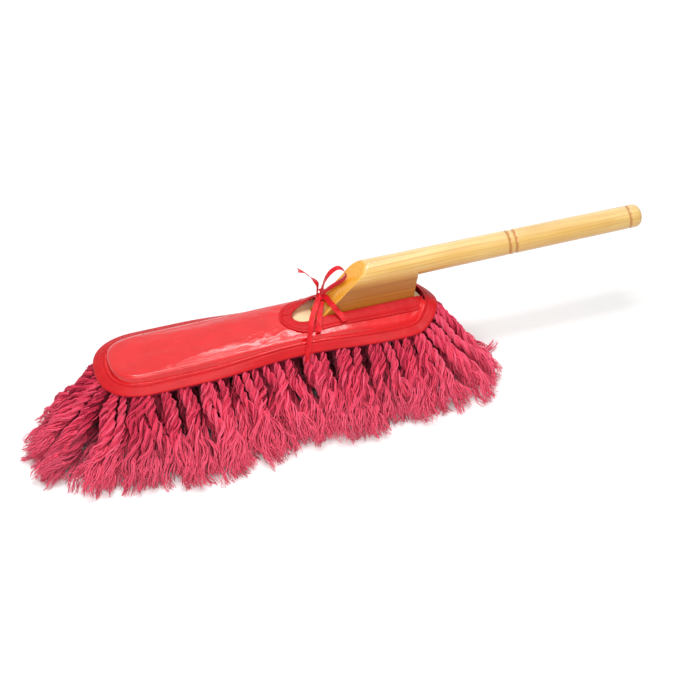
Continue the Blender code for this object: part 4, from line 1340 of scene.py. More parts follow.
@cache
def yarn_tree() -> NodeTree:
    """Geometry Nodes tree that turns each cord's line into twisted yarns that fray at the end."""
    looks = YarnLooks()
    sheet, given, line = open_tree("cords_into_yarns", (
        "Bundle Radius", "Twist Pitch", "Yarn Radius", "Fray", "Stray", "Floor", "Seed",
    ))
    cord, yarns, size, cord_tint, cord_shade = [
        sheet.out("GeometryNodeInputNamedAttribute", {"Name": name}, data_type="FLOAT")
        for name in ("cord_number", "cord_yarns", "cord_size", "cord_tint", "cord_shade")
    ]
    feeds = {"Geometry": line, "Amount": yarns}
    copies = sheet.outs("GeometryNodeDuplicateElements", feeds, domain="SPLINE")
    number = copies["Duplicate Index"]
    phase = number / yarns
    ply = sheet.maths("MODULO", sheet.maths("ROUND", phase * looks.plies), looks.plies)
    yarn_mark = cord * 97.0 + number
    ply_mark = cord * 5.0 + ply

    def chance(shift: float, low: float, high: float, of: Wire = yarn_mark) -> Wire:
        """Random value of one yarn, or of one ply."""
        feeds = {"ID": of, "Seed": given["Seed"] + shift, 2: low, 3: high}
        return sheet.out("FunctionNodeRandomValue", feeds, 1, data_type="FLOAT")

    def either_way(shift: float, size: float) -> Wire:
        """Random value of one yarn on both sides of zero."""
        return chance(shift, -size, size)

    # Twist: the yarns of a ply draw together, most where the cord comes loose.
    spline = sheet.outs("GeometryNodeSplineParameter")
    along, length = spline["Factor"], spline["Length"]
    ply_turn = looks.plies * math.tau
    round_plies = phase * ply_turn
    lobes = sheet.maths("COSINE", round_plies)
    loose = sheet.maths("POWER", along.eased(looks.loose_from, 1.0), looks.loose_power)
    pull = loose.between(*(value / ply_turn for value in looks.pull))
    gathered = sheet.maths("SINE", round_plies) * pull + phase
    slack = length / given["Twist Pitch"] * along.between(1.0, looks.slack)
    angle = (gathered + slack + either_way(1.0, looks.uneven)) * math.tau

    # Distance from the cord's middle: a tied, lumpy bundle that frays towards its end.
    inner = sheet.maths("COMPARE", sheet.maths("MODULO", number, 5.0), 0.0, 0.1)
    depth = inner * looks.core_depth + (lobes * looks.lobe_depth + 1.0)
    tied = along.eased(0.0, looks.tied_to).between(looks.tied_size, 1.0) * depth
    lump = sheet.noise(sheet.vector(cord, length * looks.lump_turns), 1.0, 1.0)
    lumpy = tied * lump.ranged(0.25, 0.75, *looks.lumps)
    bundle = given["Bundle Radius"] * size * lumpy
    apart = chance(9.0, *looks.ply_fray, ply_mark) + either_way(2.0, looks.yarn_fray)
    radius = bundle + loose * (given["Fray"] * size) * apart

    # Stray: each yarn follows its own place in two fields of noise, some much farther.
    where = sheet.out("GeometryNodeInputPosition")
    own = where + sheet.vector(*(either_way(shift, looks.own_place) for shift in (3.0, 4.0, 5.0)))
    chosen = sheet.maths("GREATER_THAN", chance(6.0, 0.0, 1.0), looks.flyaway_from)
    flyaway = chosen * looks.flyaway_more + 1.0
    reach = loose * (given["Stray"] * size) * flyaway
    drift = sheet.noise(own, looks.drift_scale, 1.5, "Color") - NOISE_MIDDLE
    curl = sheet.noise(own, looks.curl_scale, 0.5, "Color") - NOISE_MIDDLE
    crimp = curl.scaled((loose * looks.curl_more + looks.curl_least) * size)
    jitter = drift.scaled(reach * looks.drift_more + looks.drift_least) + crimp

    normal = sheet.out("GeometryNodeInputNormal")
    feeds = {0: sheet.out("GeometryNodeInputTangent"), 1: normal}
    side = sheet.out("ShaderNodeVectorMath", feeds, operation="CROSS_PRODUCT")
    first = normal.scaled(sheet.maths("COSINE", angle) * radius)
    second = side.scaled(sheet.maths("SINE", angle) * radius)
    x, y, z = (where + jitter + (first + second)).split()
    above = sheet.maths("MAXIMUM", z, given["Floor"] + given["Yarn Radius"])
    feeds = {"Geometry": copies["Geometry"], "Position": sheet.vector(x, y, above)}
    placed = sheet.out("GeometryNodeSetPosition", feeds)
    end = chance(10.0, *looks.ply_ends, ply_mark) * chance(7.0, *looks.yarn_ends)
    shape = sheet.out("GeometryNodeTrimCurve", {"Curve": placed, "End": end}, mode="FACTOR")

    # Tint: the cord's tint and a random one for each yarn, with painted shade inside the bundle,
    # between its plies and in its upper part.
    upper = along.eased(*looks.shade_fades).between(-1.0, 0.0)
    grooved = lobes * looks.lobe_shade + (inner * looks.core_shade + cord_tint)
    tint = upper * cord_shade + grooved + either_way(8.0, looks.tint_change)
    for name, value in (("yarn_tint", tint), ("yarn_along", along)):
        feeds = {"Geometry": shape, "Name": name, "Value": value}
        kinds = {"data_type": "FLOAT", "domain": "POINT"}
        shape = sheet.out("GeometryNodeStoreNamedAttribute", feeds, **kinds)
    feeds = {"Resolution": 3, "Radius": given["Yarn Radius"]}
    section = sheet.out("GeometryNodeCurvePrimitiveCircle", feeds)
    taper = along.eased(looks.taper_from, 1.0).between(1.0, looks.tip_size)
    feeds = {"Curve": shape, "Profile Curve": section, "Scale": taper, "Fill Caps": True}
    return close_tree(sheet, sheet.out("GeometryNodeCurveToMesh", feeds), given["Finish"])


# Fringe


@dataclass(frozen=True)
class Layer:
    """One layer of cords round the rim."""

    inset: float
    drop: float
    reach_share: float
    pitch: float
    arc: float
    shift: float
    seed: int
    yarns: int
    shade: float


@dataclass(frozen=True)
class Comb:
    """How the fringe is combed where the rim faces one way, in degrees from the butt's side."""

    facing: float
    turned: float
    reach: float


@dataclass(frozen=True)
class Zone:
    """Stretch of the fringe that stands for one CAD node, by its shares of the rim."""

    name: str
    start: float
    end: float
    fill: float = 1.0
    # Added to the tint of the zone's cords: painted shade where it is below zero, painted light
    # where above.
    tint: float = 0.0

    def holds(self, share: float) -> bool:
        """Tell whether a share of the rim is in the zone."""
        return self.start <= share < self.end or self.start <= share + 1.0 < self.end


@dataclass(frozen=True)
class Wave:
    """Slow swing of a cord: its size, its turns along the cord and where its noise starts."""

    size: float
    turns: float
    start: float

    def at(self, own: float, t: float, strength: float, row: float = 0.0) -> float:
        """Swing at a share of a cord, by the cord's own number and a strength from 0 to 1."""
        return self.size * strength * ripple(own + self.start, t * self.turns, row)


@dataclass
class Cords:
    """Middle lines of some cords, with the marks that each carries into its yarns."""

    lines: list[list[Vector]] = field(default_factory=list)
    marks: dict[str, list[float]] = field(default_factory=dict)

    def add(self, line: list[Vector], tint: float, yarns: int, size: float, shade: float) -> None:
        """Add one cord.

        Args:
            line: Its middle line.
            tint: Its tint.
            yarns: Number of its yarns.
            size: Its size, where 1 is a full cord.
            shade: How shaded its upper part is.
        """
        marks = {
            "cord_number": len(self.lines), "cord_tint": tint, "cord_yarns": yarns,
            "cord_size": size, "cord_shade": shade,
        }
        for mark, value in marks.items():
            self.marks.setdefault(mark, []).append(float(value))
        self.lines.append(line)


@dataclass
class Fringe:
    """Cotton cords sewn under the rim and in rows under the board."""

    placement: Placement
    effects: SurfaceEffects
    rim: Rim
    floor: float = -66.0
    floor_room: float = 1.2
    reaches: tuple[Pair, ...] = (
        (0.0, 87.0), (30.0, 86.0), (60.0, 95.0), (130.0, 97.0), (155.0, 86.0), (180.0, 81.0),
        (225.0, 88.0), (268.0, 98.0), (290.0, 80.0), (314.0, 75.0), (380.0, 74.0),
    )
    steps: int = 26
    clump: float = 4.2
    clump_pull: float = 0.30
    crowding: float = 0.28
    jitter: float = 0.32
    far_tuck: float = 4.6
    notch: float = 0.13
    tuft_lengths: Pair = (0.90, 1.05)
    cord_lengths: Pair = (0.95, 1.02)
    cord_sizes: Pair = (0.8, 1.15)
    rests: Pair = (1.5, 5.0)
    short_lift: float = 12.0
    side_lean: float = 9.0
    leans: Pair = (0.4, 1.3)
    side_start: Pair = (40.0, 90.0)
    side_end: Pair = (345.0, 50.0)
    wiggle: Wave = Wave(12.0, 2.9, 0.0)
    kink: Wave = Wave(2.0, 8.0, 9.0)
    sag: Wave = Wave(4.0, 2.4, 20.0)
    sway: Wave = Wave(2.2, 3.4, 31.0)
    yarn_sizes: tuple[tuple[str, float], ...] = (
        ("Bundle Radius", 4.2), ("Twist Pitch", 25.0), ("Yarn Radius", 0.66), ("Fray", 6.5),
        ("Stray", 3.6),
    )
    coats: tuple[tuple[str, tuple[Layer, ...]], ...] = (
        ("outer", (Layer(4.0, -3.0, 1.0, 10.2, 0.92, 0.0, 11, 34, 0.10),)),
        ("middle", (Layer(6.5, -5.0, 0.90, 10.8, 1.05, 0.5, 15, 28, 1.0),)),
        ("inner", (
            Layer(9.0, -7.0, 0.74, 11.0, 1.25, 0.35, 12, 22, 1.2),
            Layer(13.0, -8.5, 0.48, 12.0, 1.5, 0.7, 13, 13, 1.2),
            Layer(18.0, -9.5, 0.22, 14.0, 1.8, 0.2, 14, 8, 1.2),
        )),
    )
    combs: tuple[Comb, ...] = (
        Comb(-180.0, -166.0, 1.15), Comb(-158.0, -145.0, 1.36), Comb(-135.0, -130.0, 1.09),
        Comb(-112.0, -110.0, 0.94), Comb(-90.0, -88.0, 1.0), Comb(-60.0, -54.0, 1.14),
        Comb(-30.0, -38.0, 1.16), Comb(0.0, -26.0, 0.44), Comb(30.0, 4.0, 0.28),
        Comb(60.0, 52.0, 0.44), Comb(90.0, 90.0, 0.64), Comb(120.0, 160.0, 0.40),
        Comb(150.0, 186.0, 0.52), Comb(180.0, 194.0, 1.13),
    )
    curled_cord: tuple[Triple, ...] = (
        (371.0, -10.0, 8.0), (389.0, -19.0, -18.0), (404.0, -28.0, -46.0), (419.0, -34.0, -60.5),
        (434.0, -34.0, -63.5), (446.0, -29.0, -62.5), (456.0, -21.0, -58.5),
    )
    zones: tuple[Zone, ...] = (
        Zone("far", 9 / 96, 39 / 96), Zone("toe", 39 / 96, 57 / 96, 1.35, -0.20),
        Zone("near", 57 / 96, 87 / 96), Zone("heel", 87 / 96, 105 / 96, 1.15, 0.10),
    )
    under_rows: tuple[float, ...] = (-13.0, 0.0, 13.0)
    under_ends: Pair = (48.0, 338.0)
    under_count: int = 22
    under_yarns: int = 10
    under_steps: int = 20
    under_top: float = -9.0
    under_bottom: float = 1.5
    under_bend: Wave = Wave(2.0, 3.0, 0.0)

    def reach_at(self, place: float) -> float:
        """How far the fringe reaches out at the floor, longest at the toe."""
        for (start, low), (end, high) in zip(self.reaches, self.reaches[1:]):
            if place <= end:
                break
        return mix(low, high, smooth_step((place - start) / (end - start)))

    def rim_spot(self, share: float, inset: float) -> tuple[Vector, Vector]:
        """Point and outward direction at a share of the rim.

        Args:
            share: Share of the way round.
            inset: How far inside the edge.

        Returns:
            The point at the edge's height, and the level direction outwards.
        """
        count = len(self.rim.points)
        exact = (share % 1.0) * count
        here = int(exact) % count
        there = (here + 1) % count
        part = exact - int(exact)
        spot = mix(self.rim.place(here, inset, 0.0), self.rim.place(there, inset, 0.0), part)
        outward = mix(self.rim.normals[here], self.rim.normals[there], part).normalized()
        return spot, outward

    def combed(self, outward: Vector) -> tuple[Vector, float]:
        """Direction that the cords take at a stretch of the rim, and the share of their reach.

        Args:
            outward: Level direction outwards from the rim.

        Returns:
            The level direction of the cords, and the share.
        """
        facing = math.degrees(math.atan2(outward.y, outward.x))
        for first, second in zip(self.combs, self.combs[1:]):
            if facing <= second.facing:
                break
        share = smooth_step((facing - first.facing) / (second.facing - first.facing))
        turned = math.radians(mix(first.turned, second.turned, share))
        reach = mix(first.reach, second.reach, share)
        return Vector((math.cos(turned), math.sin(turned), 0.0)), reach

    def cord(self, share: float, layer: Layer, number: int, chance: random.Random) -> list[Vector]:
        """Line of one cord from under the binding to the floor.

        Args:
            share: Share of the way round the rim.
            layer: Its layer.
            number: Number of the cord in its layer.
            chance: Source of random values.

        Returns:
            Points of the line in the cover's frame.
        """
        _, facing = self.rim_spot(share, layer.inset)
        tucked = self.far_tuck * max(facing.y, 0.0)
        root, facing = self.rim_spot(share, layer.inset + tucked)
        root.z += layer.drop - tucked
        outward, combed_share = self.combed(facing)
        along = UP.cross(outward)

        # The cord's place in its tuft, whose middle draws it in and whose rim is shorter.
        place = share * self.rim.perimeter / layer.pitch / self.clump + layer.shift
        clump = math.floor(place)
        off = place - (clump + 0.5 + 0.3 * ripple(clump * 1.7, layer.seed))
        pull = -off * self.clump * layer.pitch * self.clump_pull
        tuft = random.Random(clump * 31 + layer.seed)
        length = mix(*self.tuft_lengths, tuft.random())
        length *= 1.0 - self.notch * min(abs(off) * 2.0, 1.0) ** 2
        length *= mix(*self.cord_lengths, chance.random())
        reach = layer.inset + self.reach_at(root.x) * layer.reach_share * length * combed_share

        (start, start_ease), (end, end_ease) = self.side_start, self.side_end
        sides = smooth_step((root.x - start) / start_ease) * smooth_step((end - root.x) / end_ease)
        lean = Vector((self.side_lean * sides * mix(*self.leans, tuft.random()), 0.0, 0.0))
        rest = self.floor + mix(*self.rests, chance.random())
        rest += self.short_lift * (1.0 - min(length, 1.0))
        own = chance.uniform(-50.0, 50.0)
        line = []
        for t in stops(0.0, 1.0, self.steps - 1) + [1.0]:
            loose = smooth_step(t / 0.35)
            spot = root + outward * (reach * t ** layer.arc) + lean * (t ** 1.6)
            spot += along * (pull * t ** 1.4)
            spot.z = mix(root.z, rest, min(t * 1.03, 1.0))
            spot += along * self.wiggle.at(own, t, loose, number * 0.31)
            spot += along * self.kink.at(own, t, loose)
            spot.z += self.sag.at(own, t, math.sin(math.pi * t))
            spot += outward * self.sway.at(own, t, loose)
            spot.z = max(spot.z, self.floor + self.floor_room)
            line.append(spot)
        return line

    def zone_cords(self, zone: Zone, layers: tuple[Layer, ...]) -> Cords:
        """Every cord of some layers whose root is in a zone."""
        cords = Cords()
        if zone.name == "heel" and layers[0].reach_share == 1.0:
            route = curve_through([Vector(spot) for spot in self.curled_cord], 6)
            cords.add(resample(route, self.steps), 0.75, 15, 0.42, 0.2)
        for layer in layers:
            count = round(self.rim.perimeter / layer.pitch)
            chance = random.Random(layer.seed)
            for number in range(count):
                moved = chance.uniform(-self.jitter, self.jitter)
                share = (number + layer.shift + moved) / count % 1.0
                share -= self.crowding * math.sin(4.0 * math.pi * share) / (4.0 * math.pi)
                if zone.holds(share):
                    own = random.Random(layer.seed * 1000 + number)
                    line = self.cord(share, layer, number, own)
                    # Each cord's tint varies at random; its zone adds painted shade at the toe and
                    # painted light at the heel.
                    tint = 0.60 + zone.tint + 0.75 * ripple(number * 0.9, layer.seed * 3.3)
                    # Painted shade: layers that lie deeper under the rim take a darker tint.
                    tint += 0.055 * layer.drop
                    size = chance.uniform(*self.cord_sizes) * math.sqrt(layer.yarns / 36.0)
                    cords.add(line, tint, round(layer.yarns * zone.fill), size, layer.shade)
        return cords

    def under_cords(self, row_y: float, chance: random.Random) -> Cords:
        """One row of cords that hang down under the board."""
        cords = Cords()
        for number in range(self.under_count):
            place = mix(*self.under_ends, (number + 0.5) / self.under_count)
            sway_x, sway_y = chance.uniform(-5.0, 5.0), chance.uniform(-4.0, 4.0)
            own = chance.uniform(-50.0, 50.0)
            line = []
            for t in stops(0.0, 1.0, self.under_steps - 1) + [1.0]:
                height = mix(self.under_top, self.floor + self.under_bottom, t)
                bend = self.under_bend.at(own, t, t)
                line.append(Vector((place + sway_x * t + bend, row_y + sway_y * t - bend, height)))
            tint = 0.42 + 0.25 * ripple(number * 0.7, row_y)
            cords.add(line, tint, self.under_yarns, 0.8, 1.0)
        return cords

    def make_yarns(self, name: str, cords: Cords, seed: int, node: str) -> None:
        """Turn the cords of one zone into yarns.

        Args:
            name: Name of the piece.
            cords: The cords.
            seed: Seed of the yarns.
            node: CAD node that the piece stands for.
        """
        lines = [self.placement.points(line) for line in cords.lines]
        guide = guide_object(name, lines, cords.marks)
        values = {label: size * MM for label, size in self.yarn_sizes}
        values["Floor"] = self.placement.point(Vector((0.0, 0.0, self.floor))).z
        values["Seed"] = float(seed)
        values["Finish"] = self.cotton
        dress(run_tree(guide, yarn_tree(), values, name), Slot.STRAND_COTTON, node)

    def build(self) -> None:
        """Build the four zones and the rows under the board."""
        self.cotton = CottonFinish().make(self.effects)
        for order, zone in enumerate(self.zones):
            for depth, (coat, layers) in enumerate(self.coats):
                cords = self.zone_cords(zone, layers)
                name = f"fringe_{zone.name}_{coat}"
                self.make_yarns(name, cords, 3 * order + depth, f"strands_{zone.name}")
        for order, row_y in enumerate(self.under_rows, start=1):
            cords = self.under_cords(row_y, random.Random(20 + order))
            self.make_yarns(f"fringe_under_{order}", cords, 20 + order, f"strands_under_{order}")


# Handle


@dataclass
class Handle:
    """Turned grip and flat-sided neck in one piece of lacquered pine, on its board and screws."""

    placement: Placement
    effects: SurfaceEffects
    nodes: dict[str, Object]
    slope_x: float = 227.5
    axis_height: float = 57.6
    half_thickness: float = 13.6
    neck_bottom: float = 11.4
    neck_rear: float = 351.5
    neck_rear_top: float = 355.6
    rear_fillet: float = 2.4
    toe_foot: float = 2.4
    grip_start: float = 265.8
    neck_radius: float = 14.3
    butt_radius: float = 13.0
    butt_x: float = 630.0
    dome_length: float = 9.0
    dome_powers: Pair = (2.8, 0.42)
    grooves: tuple[float, ...] = (164.6, 156.8, 16.7)
    groove_half_width: float = 1.7
    groove_depth: float = 1.1
    groove_power: float = 1.5
    groove_shadow: float = 1.5
    corner: float = 1.6
    edge_round: float = 1.4
    edge_margin: float = 3.0
    upright_x: float = 338.0
    top_points: int = 33
    top_angles: Pair = (-8.0, 188.0)
    side_share: float = 0.60
    under_share: float = 0.80
    face_shares: tuple[float, ...] = (0.02, 0.35, 0.7, 0.9)
    # Heights about the axis between which the painted shade comes on, and how far past the neck's
    # rear its stronger neck part reaches.
    shade_heights: Pair = (1.0, -13.0)
    shade_end: float = 8.0

    def grip_radius(self, place: float) -> float:
        """Radius of the grip, with its taper, ring grooves and domed butt."""
        taper = (place - self.grip_start) / (self.butt_x - self.grip_start)
        radius = mix(self.neck_radius, self.butt_radius, taper)
        for distance in self.grooves:
            share = (place - self.butt_x + distance) / self.groove_half_width
            if abs(share) < 1.0:
                radius -= self.groove_depth * math.cos(share * math.pi / 2.0) ** self.groove_power
        dome = (place - self.butt_x + self.dome_length) / self.dome_length
        if dome > 0.0:
            inner, outer = self.dome_powers
            radius *= max(1.0 - min(dome, 1.0) ** inner, 0.0) ** outer
        return radius

    def neck_underside(self, place: float) -> float:
        """Height of the neck's underside, which climbs its rear edge to the grip."""
        top = self.axis_height - self.half_thickness
        rise = top - self.rear_fillet - self.neck_bottom
        if place <= self.neck_rear - self.corner:
            return self.neck_bottom
        if place <= self.neck_rear:
            share = (place - self.neck_rear + self.corner) / self.corner
            sink = 1.0 - math.sqrt(max(1.0 - share * share, 0.0))
            return self.neck_bottom + self.corner * sink
        if place <= self.neck_rear_top:
            share = (place - self.neck_rear) / (self.neck_rear_top - self.neck_rear)
            return self.neck_bottom + self.corner + (rise - self.corner) * share
        share = min((place - self.neck_rear_top) / self.rear_fillet, 1.0)
        return top - self.rear_fillet * (1.0 - math.sqrt(max(1.0 - (1.0 - share) ** 2, 0.0)))

    def section(self, place: float, radius_place: float) -> list[Pair]:
        """Outline of the wood across the handle.

        Args:
            place: Place along the handle that gives the neck's underside.
            radius_place: Place that gives the grip's radius.

        Returns:
            Points (y, z) from the far side over the top, down the near side and round.
        """
        radius = self.grip_radius(radius_place)
        fade = smooth_step((place - self.neck_rear_top) / (2.0 * self.rear_fillet))
        half = mix(self.half_thickness, self.side_share * radius, fade)
        low = mix(self.neck_underside(place), self.axis_height - self.under_share * radius, fade)
        first, last = self.top_angles
        points = []
        for turn in stops(first, last, self.top_points - 1) + [last]:
            angle = math.radians(turn)
            height = self.axis_height + radius * math.sin(angle)
            points.append((radius * math.cos(angle), height))
        corner = min(self.corner, half * 0.4)
        outline = [(-half, z) for z in stops(points[-1][1], low + corner, 8)[1:]]
        outline += [
            (-half + corner * (1.0 - cosine), low + corner * (1.0 - sine))
            for sine, cosine in quarter_turn(4)
        ]
        outline += [(y, low) for y in stops(-half + corner, 0.0, 3)[1:]]
        mirrored = [(-y, z) for y, z in reversed(outline)]
        for y, z in outline + [(0.0, low)] + mirrored:
            away = Vector((y, z - self.axis_height))
            if away.length < radius:
                away = away.normalized() * radius
            points.append((away.x, self.axis_height + away.y))
        return points

    def ring(self, place: float, tilt: float) -> Ring:
        """Ring of points across the handle, tilted along the slope of its front."""
        toe = self.slope_x + self.neck_bottom + self.toe_foot
        return [
            Vector((max(place + tilt * (z - self.axis_height), toe), y, z))
            for y, z in self.section(place, max(place, self.grip_start))
        ]

    def rings(self) -> list[Ring]:
        """Every ring from the sloped front to the butt."""
        front = self.slope_x + self.axis_height
        face = self.ring(front, 1.0)
        middle = sum(face, Vector()) / len(face)
        inward = Vector((1.0, 0.0, -1.0)).normalized()
        rings = [[mix(middle, point, share) for point in face] for share in self.face_shares]
        for sine, cosine in quarter_turn(4):
            draw = self.edge_round * (1.0 - sine)
            sink = inward * (self.edge_round * (1.0 - cosine))
            rings.append([point + (middle - point).normalized() * draw + sink for point in face])
        for place in stops(front + self.edge_margin, self.upright_x, 24):
            tilt = 1.0 - smooth_step((place - front) / (self.upright_x - front))
            rings.append(self.ring(place, tilt))
        corner = self.neck_rear - self.corner
        rear = self.neck_rear_top + 2.0 * self.rear_fillet
        dome = self.butt_x - self.dome_length
        places = stops(self.upright_x, corner, 8) + stops(corner, rear, 44) + stops(rear, dome, 320)
        places += [dome + self.dome_length * sine * 0.998 for sine, _ in quarter_turn(16)]
        return rings + [self.ring(place, 0.0) for place in places]

    def wood_marks(self) -> HandleMarks:
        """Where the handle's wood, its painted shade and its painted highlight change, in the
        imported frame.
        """
        zero = self.placement.zero
        shade_from, shade_to = [zero.z + (self.axis_height + rise) * MM for rise in self.shade_heights]
        return HandleMarks(
            cut=zero.x - zero.z + self.slope_x * MM,
            shade_from=shade_from,
            shade_to=shade_to,
            neck_end=zero.x + (self.neck_rear_top + self.shade_end) * MM,
            grooves=tuple(zero.x + (self.butt_x - distance) * MM for distance in self.grooves),
            groove_half_width=self.groove_half_width * self.groove_shadow * MM,
        )

    def refinish(self, node: str, material: Material) -> None:
        """Give a CAD node that keeps its shape a better material."""
        for place in self.nodes[node].material_slots:
            place.material = material
        log.info("%s: new finish", node)

    def build(self) -> None:
        """Build the handle and finish what carries it."""
        piece = Piece("handle_turned", self.placement)
        piece.loft(self.rings())
        lacquered = PineFinish(
            "lacquered_wood", (0.87, 0.60, 0.20), (0.82, 0.49, 0.12), (0.52, 0.20, 0.03),
            spacing=0.0031, roughness=0.34, coat=0.9, contrast=0.40, marks=self.wood_marks(),
        )
        dress(piece.finish(lacquered.make(self.effects)), Slot.LACQUERED_PINE, "handle")
        bare = PineFinish(
            "bare_wood", (1.0, 0.86, 0.54), (1.0, 0.80, 0.46), (0.88, 0.56, 0.26),
            spacing=0.0042, roughness=0.62, coat=0.0,
        )
        self.refinish("paddle_board", bare.make(self.effects))
        zinc = SteelFinish().make(self.effects)
        for number in (1, 2):
            self.refinish(f"neck_screw_{number}", zinc)


# Tie


@dataclass(frozen=True)
class Ribbon:
    """One ribbon of the tie: places from the foot of the slope, each with its width's direction."""

    name: str
    node: str
    route: tuple[tuple[Triple, Triple], ...]
    free: FarEnd | None = None
    layers: int = 1
    frayed: bool = False


NEAR_STRAP = Ribbon("tie_near_strap", "tie_strap_near", (
    ((27.4, 6.6, 31.6), (0.7, 0.1, 0.7)), ((30.1, 2.2, 32.2), (0.7, 0.1, 0.7)),
    ((30.7, -6.0, 32.5), (0.7, 0.1, 0.7)), ((31.6, -13.4, 33.9), (0.75, 0.1, 0.65)),
    ((33.4, -16.2, 31.0), (0.85, -0.1, 0.5)), ((36.4, -18.0, 26.8), (0.9, -0.2, 0.35)),
    ((38.5, -21.5, 24.2), (0.95, 0.2, 0.1)), ((39.7, -25.0, 22.6), (0.95, 0.2, 0.1)),
    ((40.4, -27.6, 20.2), (0.95, 0.2, 0.1)),
))
FAR_STRAP = Ribbon("tie_far_strap", "tie_strap_far", (
    ((29.1, 14.4, 32.4), (0.8, 0.0, 0.6)), ((29.5, 17.5, 32.0), (0.95, 0.0, 0.2)),
    ((29.5, 21.5, 30.9), (0.97, 0.0, 0.1)),
))
LOOP_UP = Ribbon("tie_upper_loop", "tie_loop_up", (
    ((25.0, 7.4, 34.5), (0.1, 1.0, 0.1)), ((27.4, 7.2, 43.5), (0.1, 1.0, 0.1)),
    ((30.5, 7.0, 54.0), (0.1, 1.0, 0.0)), ((36.7, 5.2, 64.2), (0.0, 1.0, 0.2)),
    ((43.7, 3.4, 68.8), (0.0, 1.0, 0.2)), ((49.3, 2.2, 65.2), (0.0, 1.0, 0.1)),
    ((51.5, 1.4, 58.6), (0.0, 1.0, 0.0)), ((47.7, 2.6, 51.8), (0.1, 1.0, 0.1)),
    ((39.7, 7.2, 43.6), (0.1, 1.0, 0.1)), ((32.1, 9.6, 37.2), (0.1, 1.0, 0.1)),
    ((27.8, 9.7, 33.7), (0.1, 1.0, 0.1)),
), FarEnd.OBJECT)
TAIL_UP = Ribbon("tie_upper_tail", "tie_tail_up", (
    ((22.3, 11.0, 33.5), (0.5, 0.8, 0.1)), ((22.7, 10.6, 40.0), (0.6, 0.7, 0.1)),
    ((22.3, 10.0, 47.8), (0.5, 0.8, 0.1)), ((15.5, 9.6, 57.4), (0.0, 0.85, -0.35)),
    ((7.7, 9.2, 67.8), (-0.1, 0.9, -0.3)), ((0.5, 9.0, 72.4), (0.1, 0.9, 0.3)),
), FarEnd.BARE, frayed=True)
TAIL_DOWN = Ribbon("tie_lower_tail", "tie_tail_down", (
    ((22.1, 5.6, 33.2), (0.9, 0.3, 0.3)), ((18.1, -1.0, 31.6), (0.9, 0.3, 0.2)),
    ((12.9, -9.0, 29.0), (0.95, 0.3, 0.1)), ((7.7, -17.0, 26.6), (0.95, 0.3, 0.0)),
    ((3.1, -25.5, 22.8), (0.95, 0.3, 0.0)), ((-0.5, -33.0, 17.0), (0.95, 0.3, 0.0)),
    ((-3.9, -39.5, 10.0), (0.95, 0.3, 0.0)), ((-7.1, -45.5, 1.6), (0.95, 0.3, 0.0)),
    ((-9.1, -49.0, -6.0), (0.95, 0.3, 0.0)),
), FarEnd.BARE)
LOOP_DOWN = Ribbon("tie_lower_loop", "tie_loop_down", (
    ((24.3, 2.0, 29.2), (0.9, 0.2, 0.3)), ((21.5, -3.0, 27.4), (0.95, 0.2, 0.2)),
    ((18.3, -10.0, 25.2), (0.98, 0.2, 0.1)), ((15.3, -17.5, 23.9), (0.98, 0.2, 0.0)),
    ((11.9, -26.0, 21.6), (0.98, 0.2, 0.0)), ((9.7, -32.0, 17.4), (0.98, 0.2, 0.0)),
), FarEnd.BARE, layers=2)


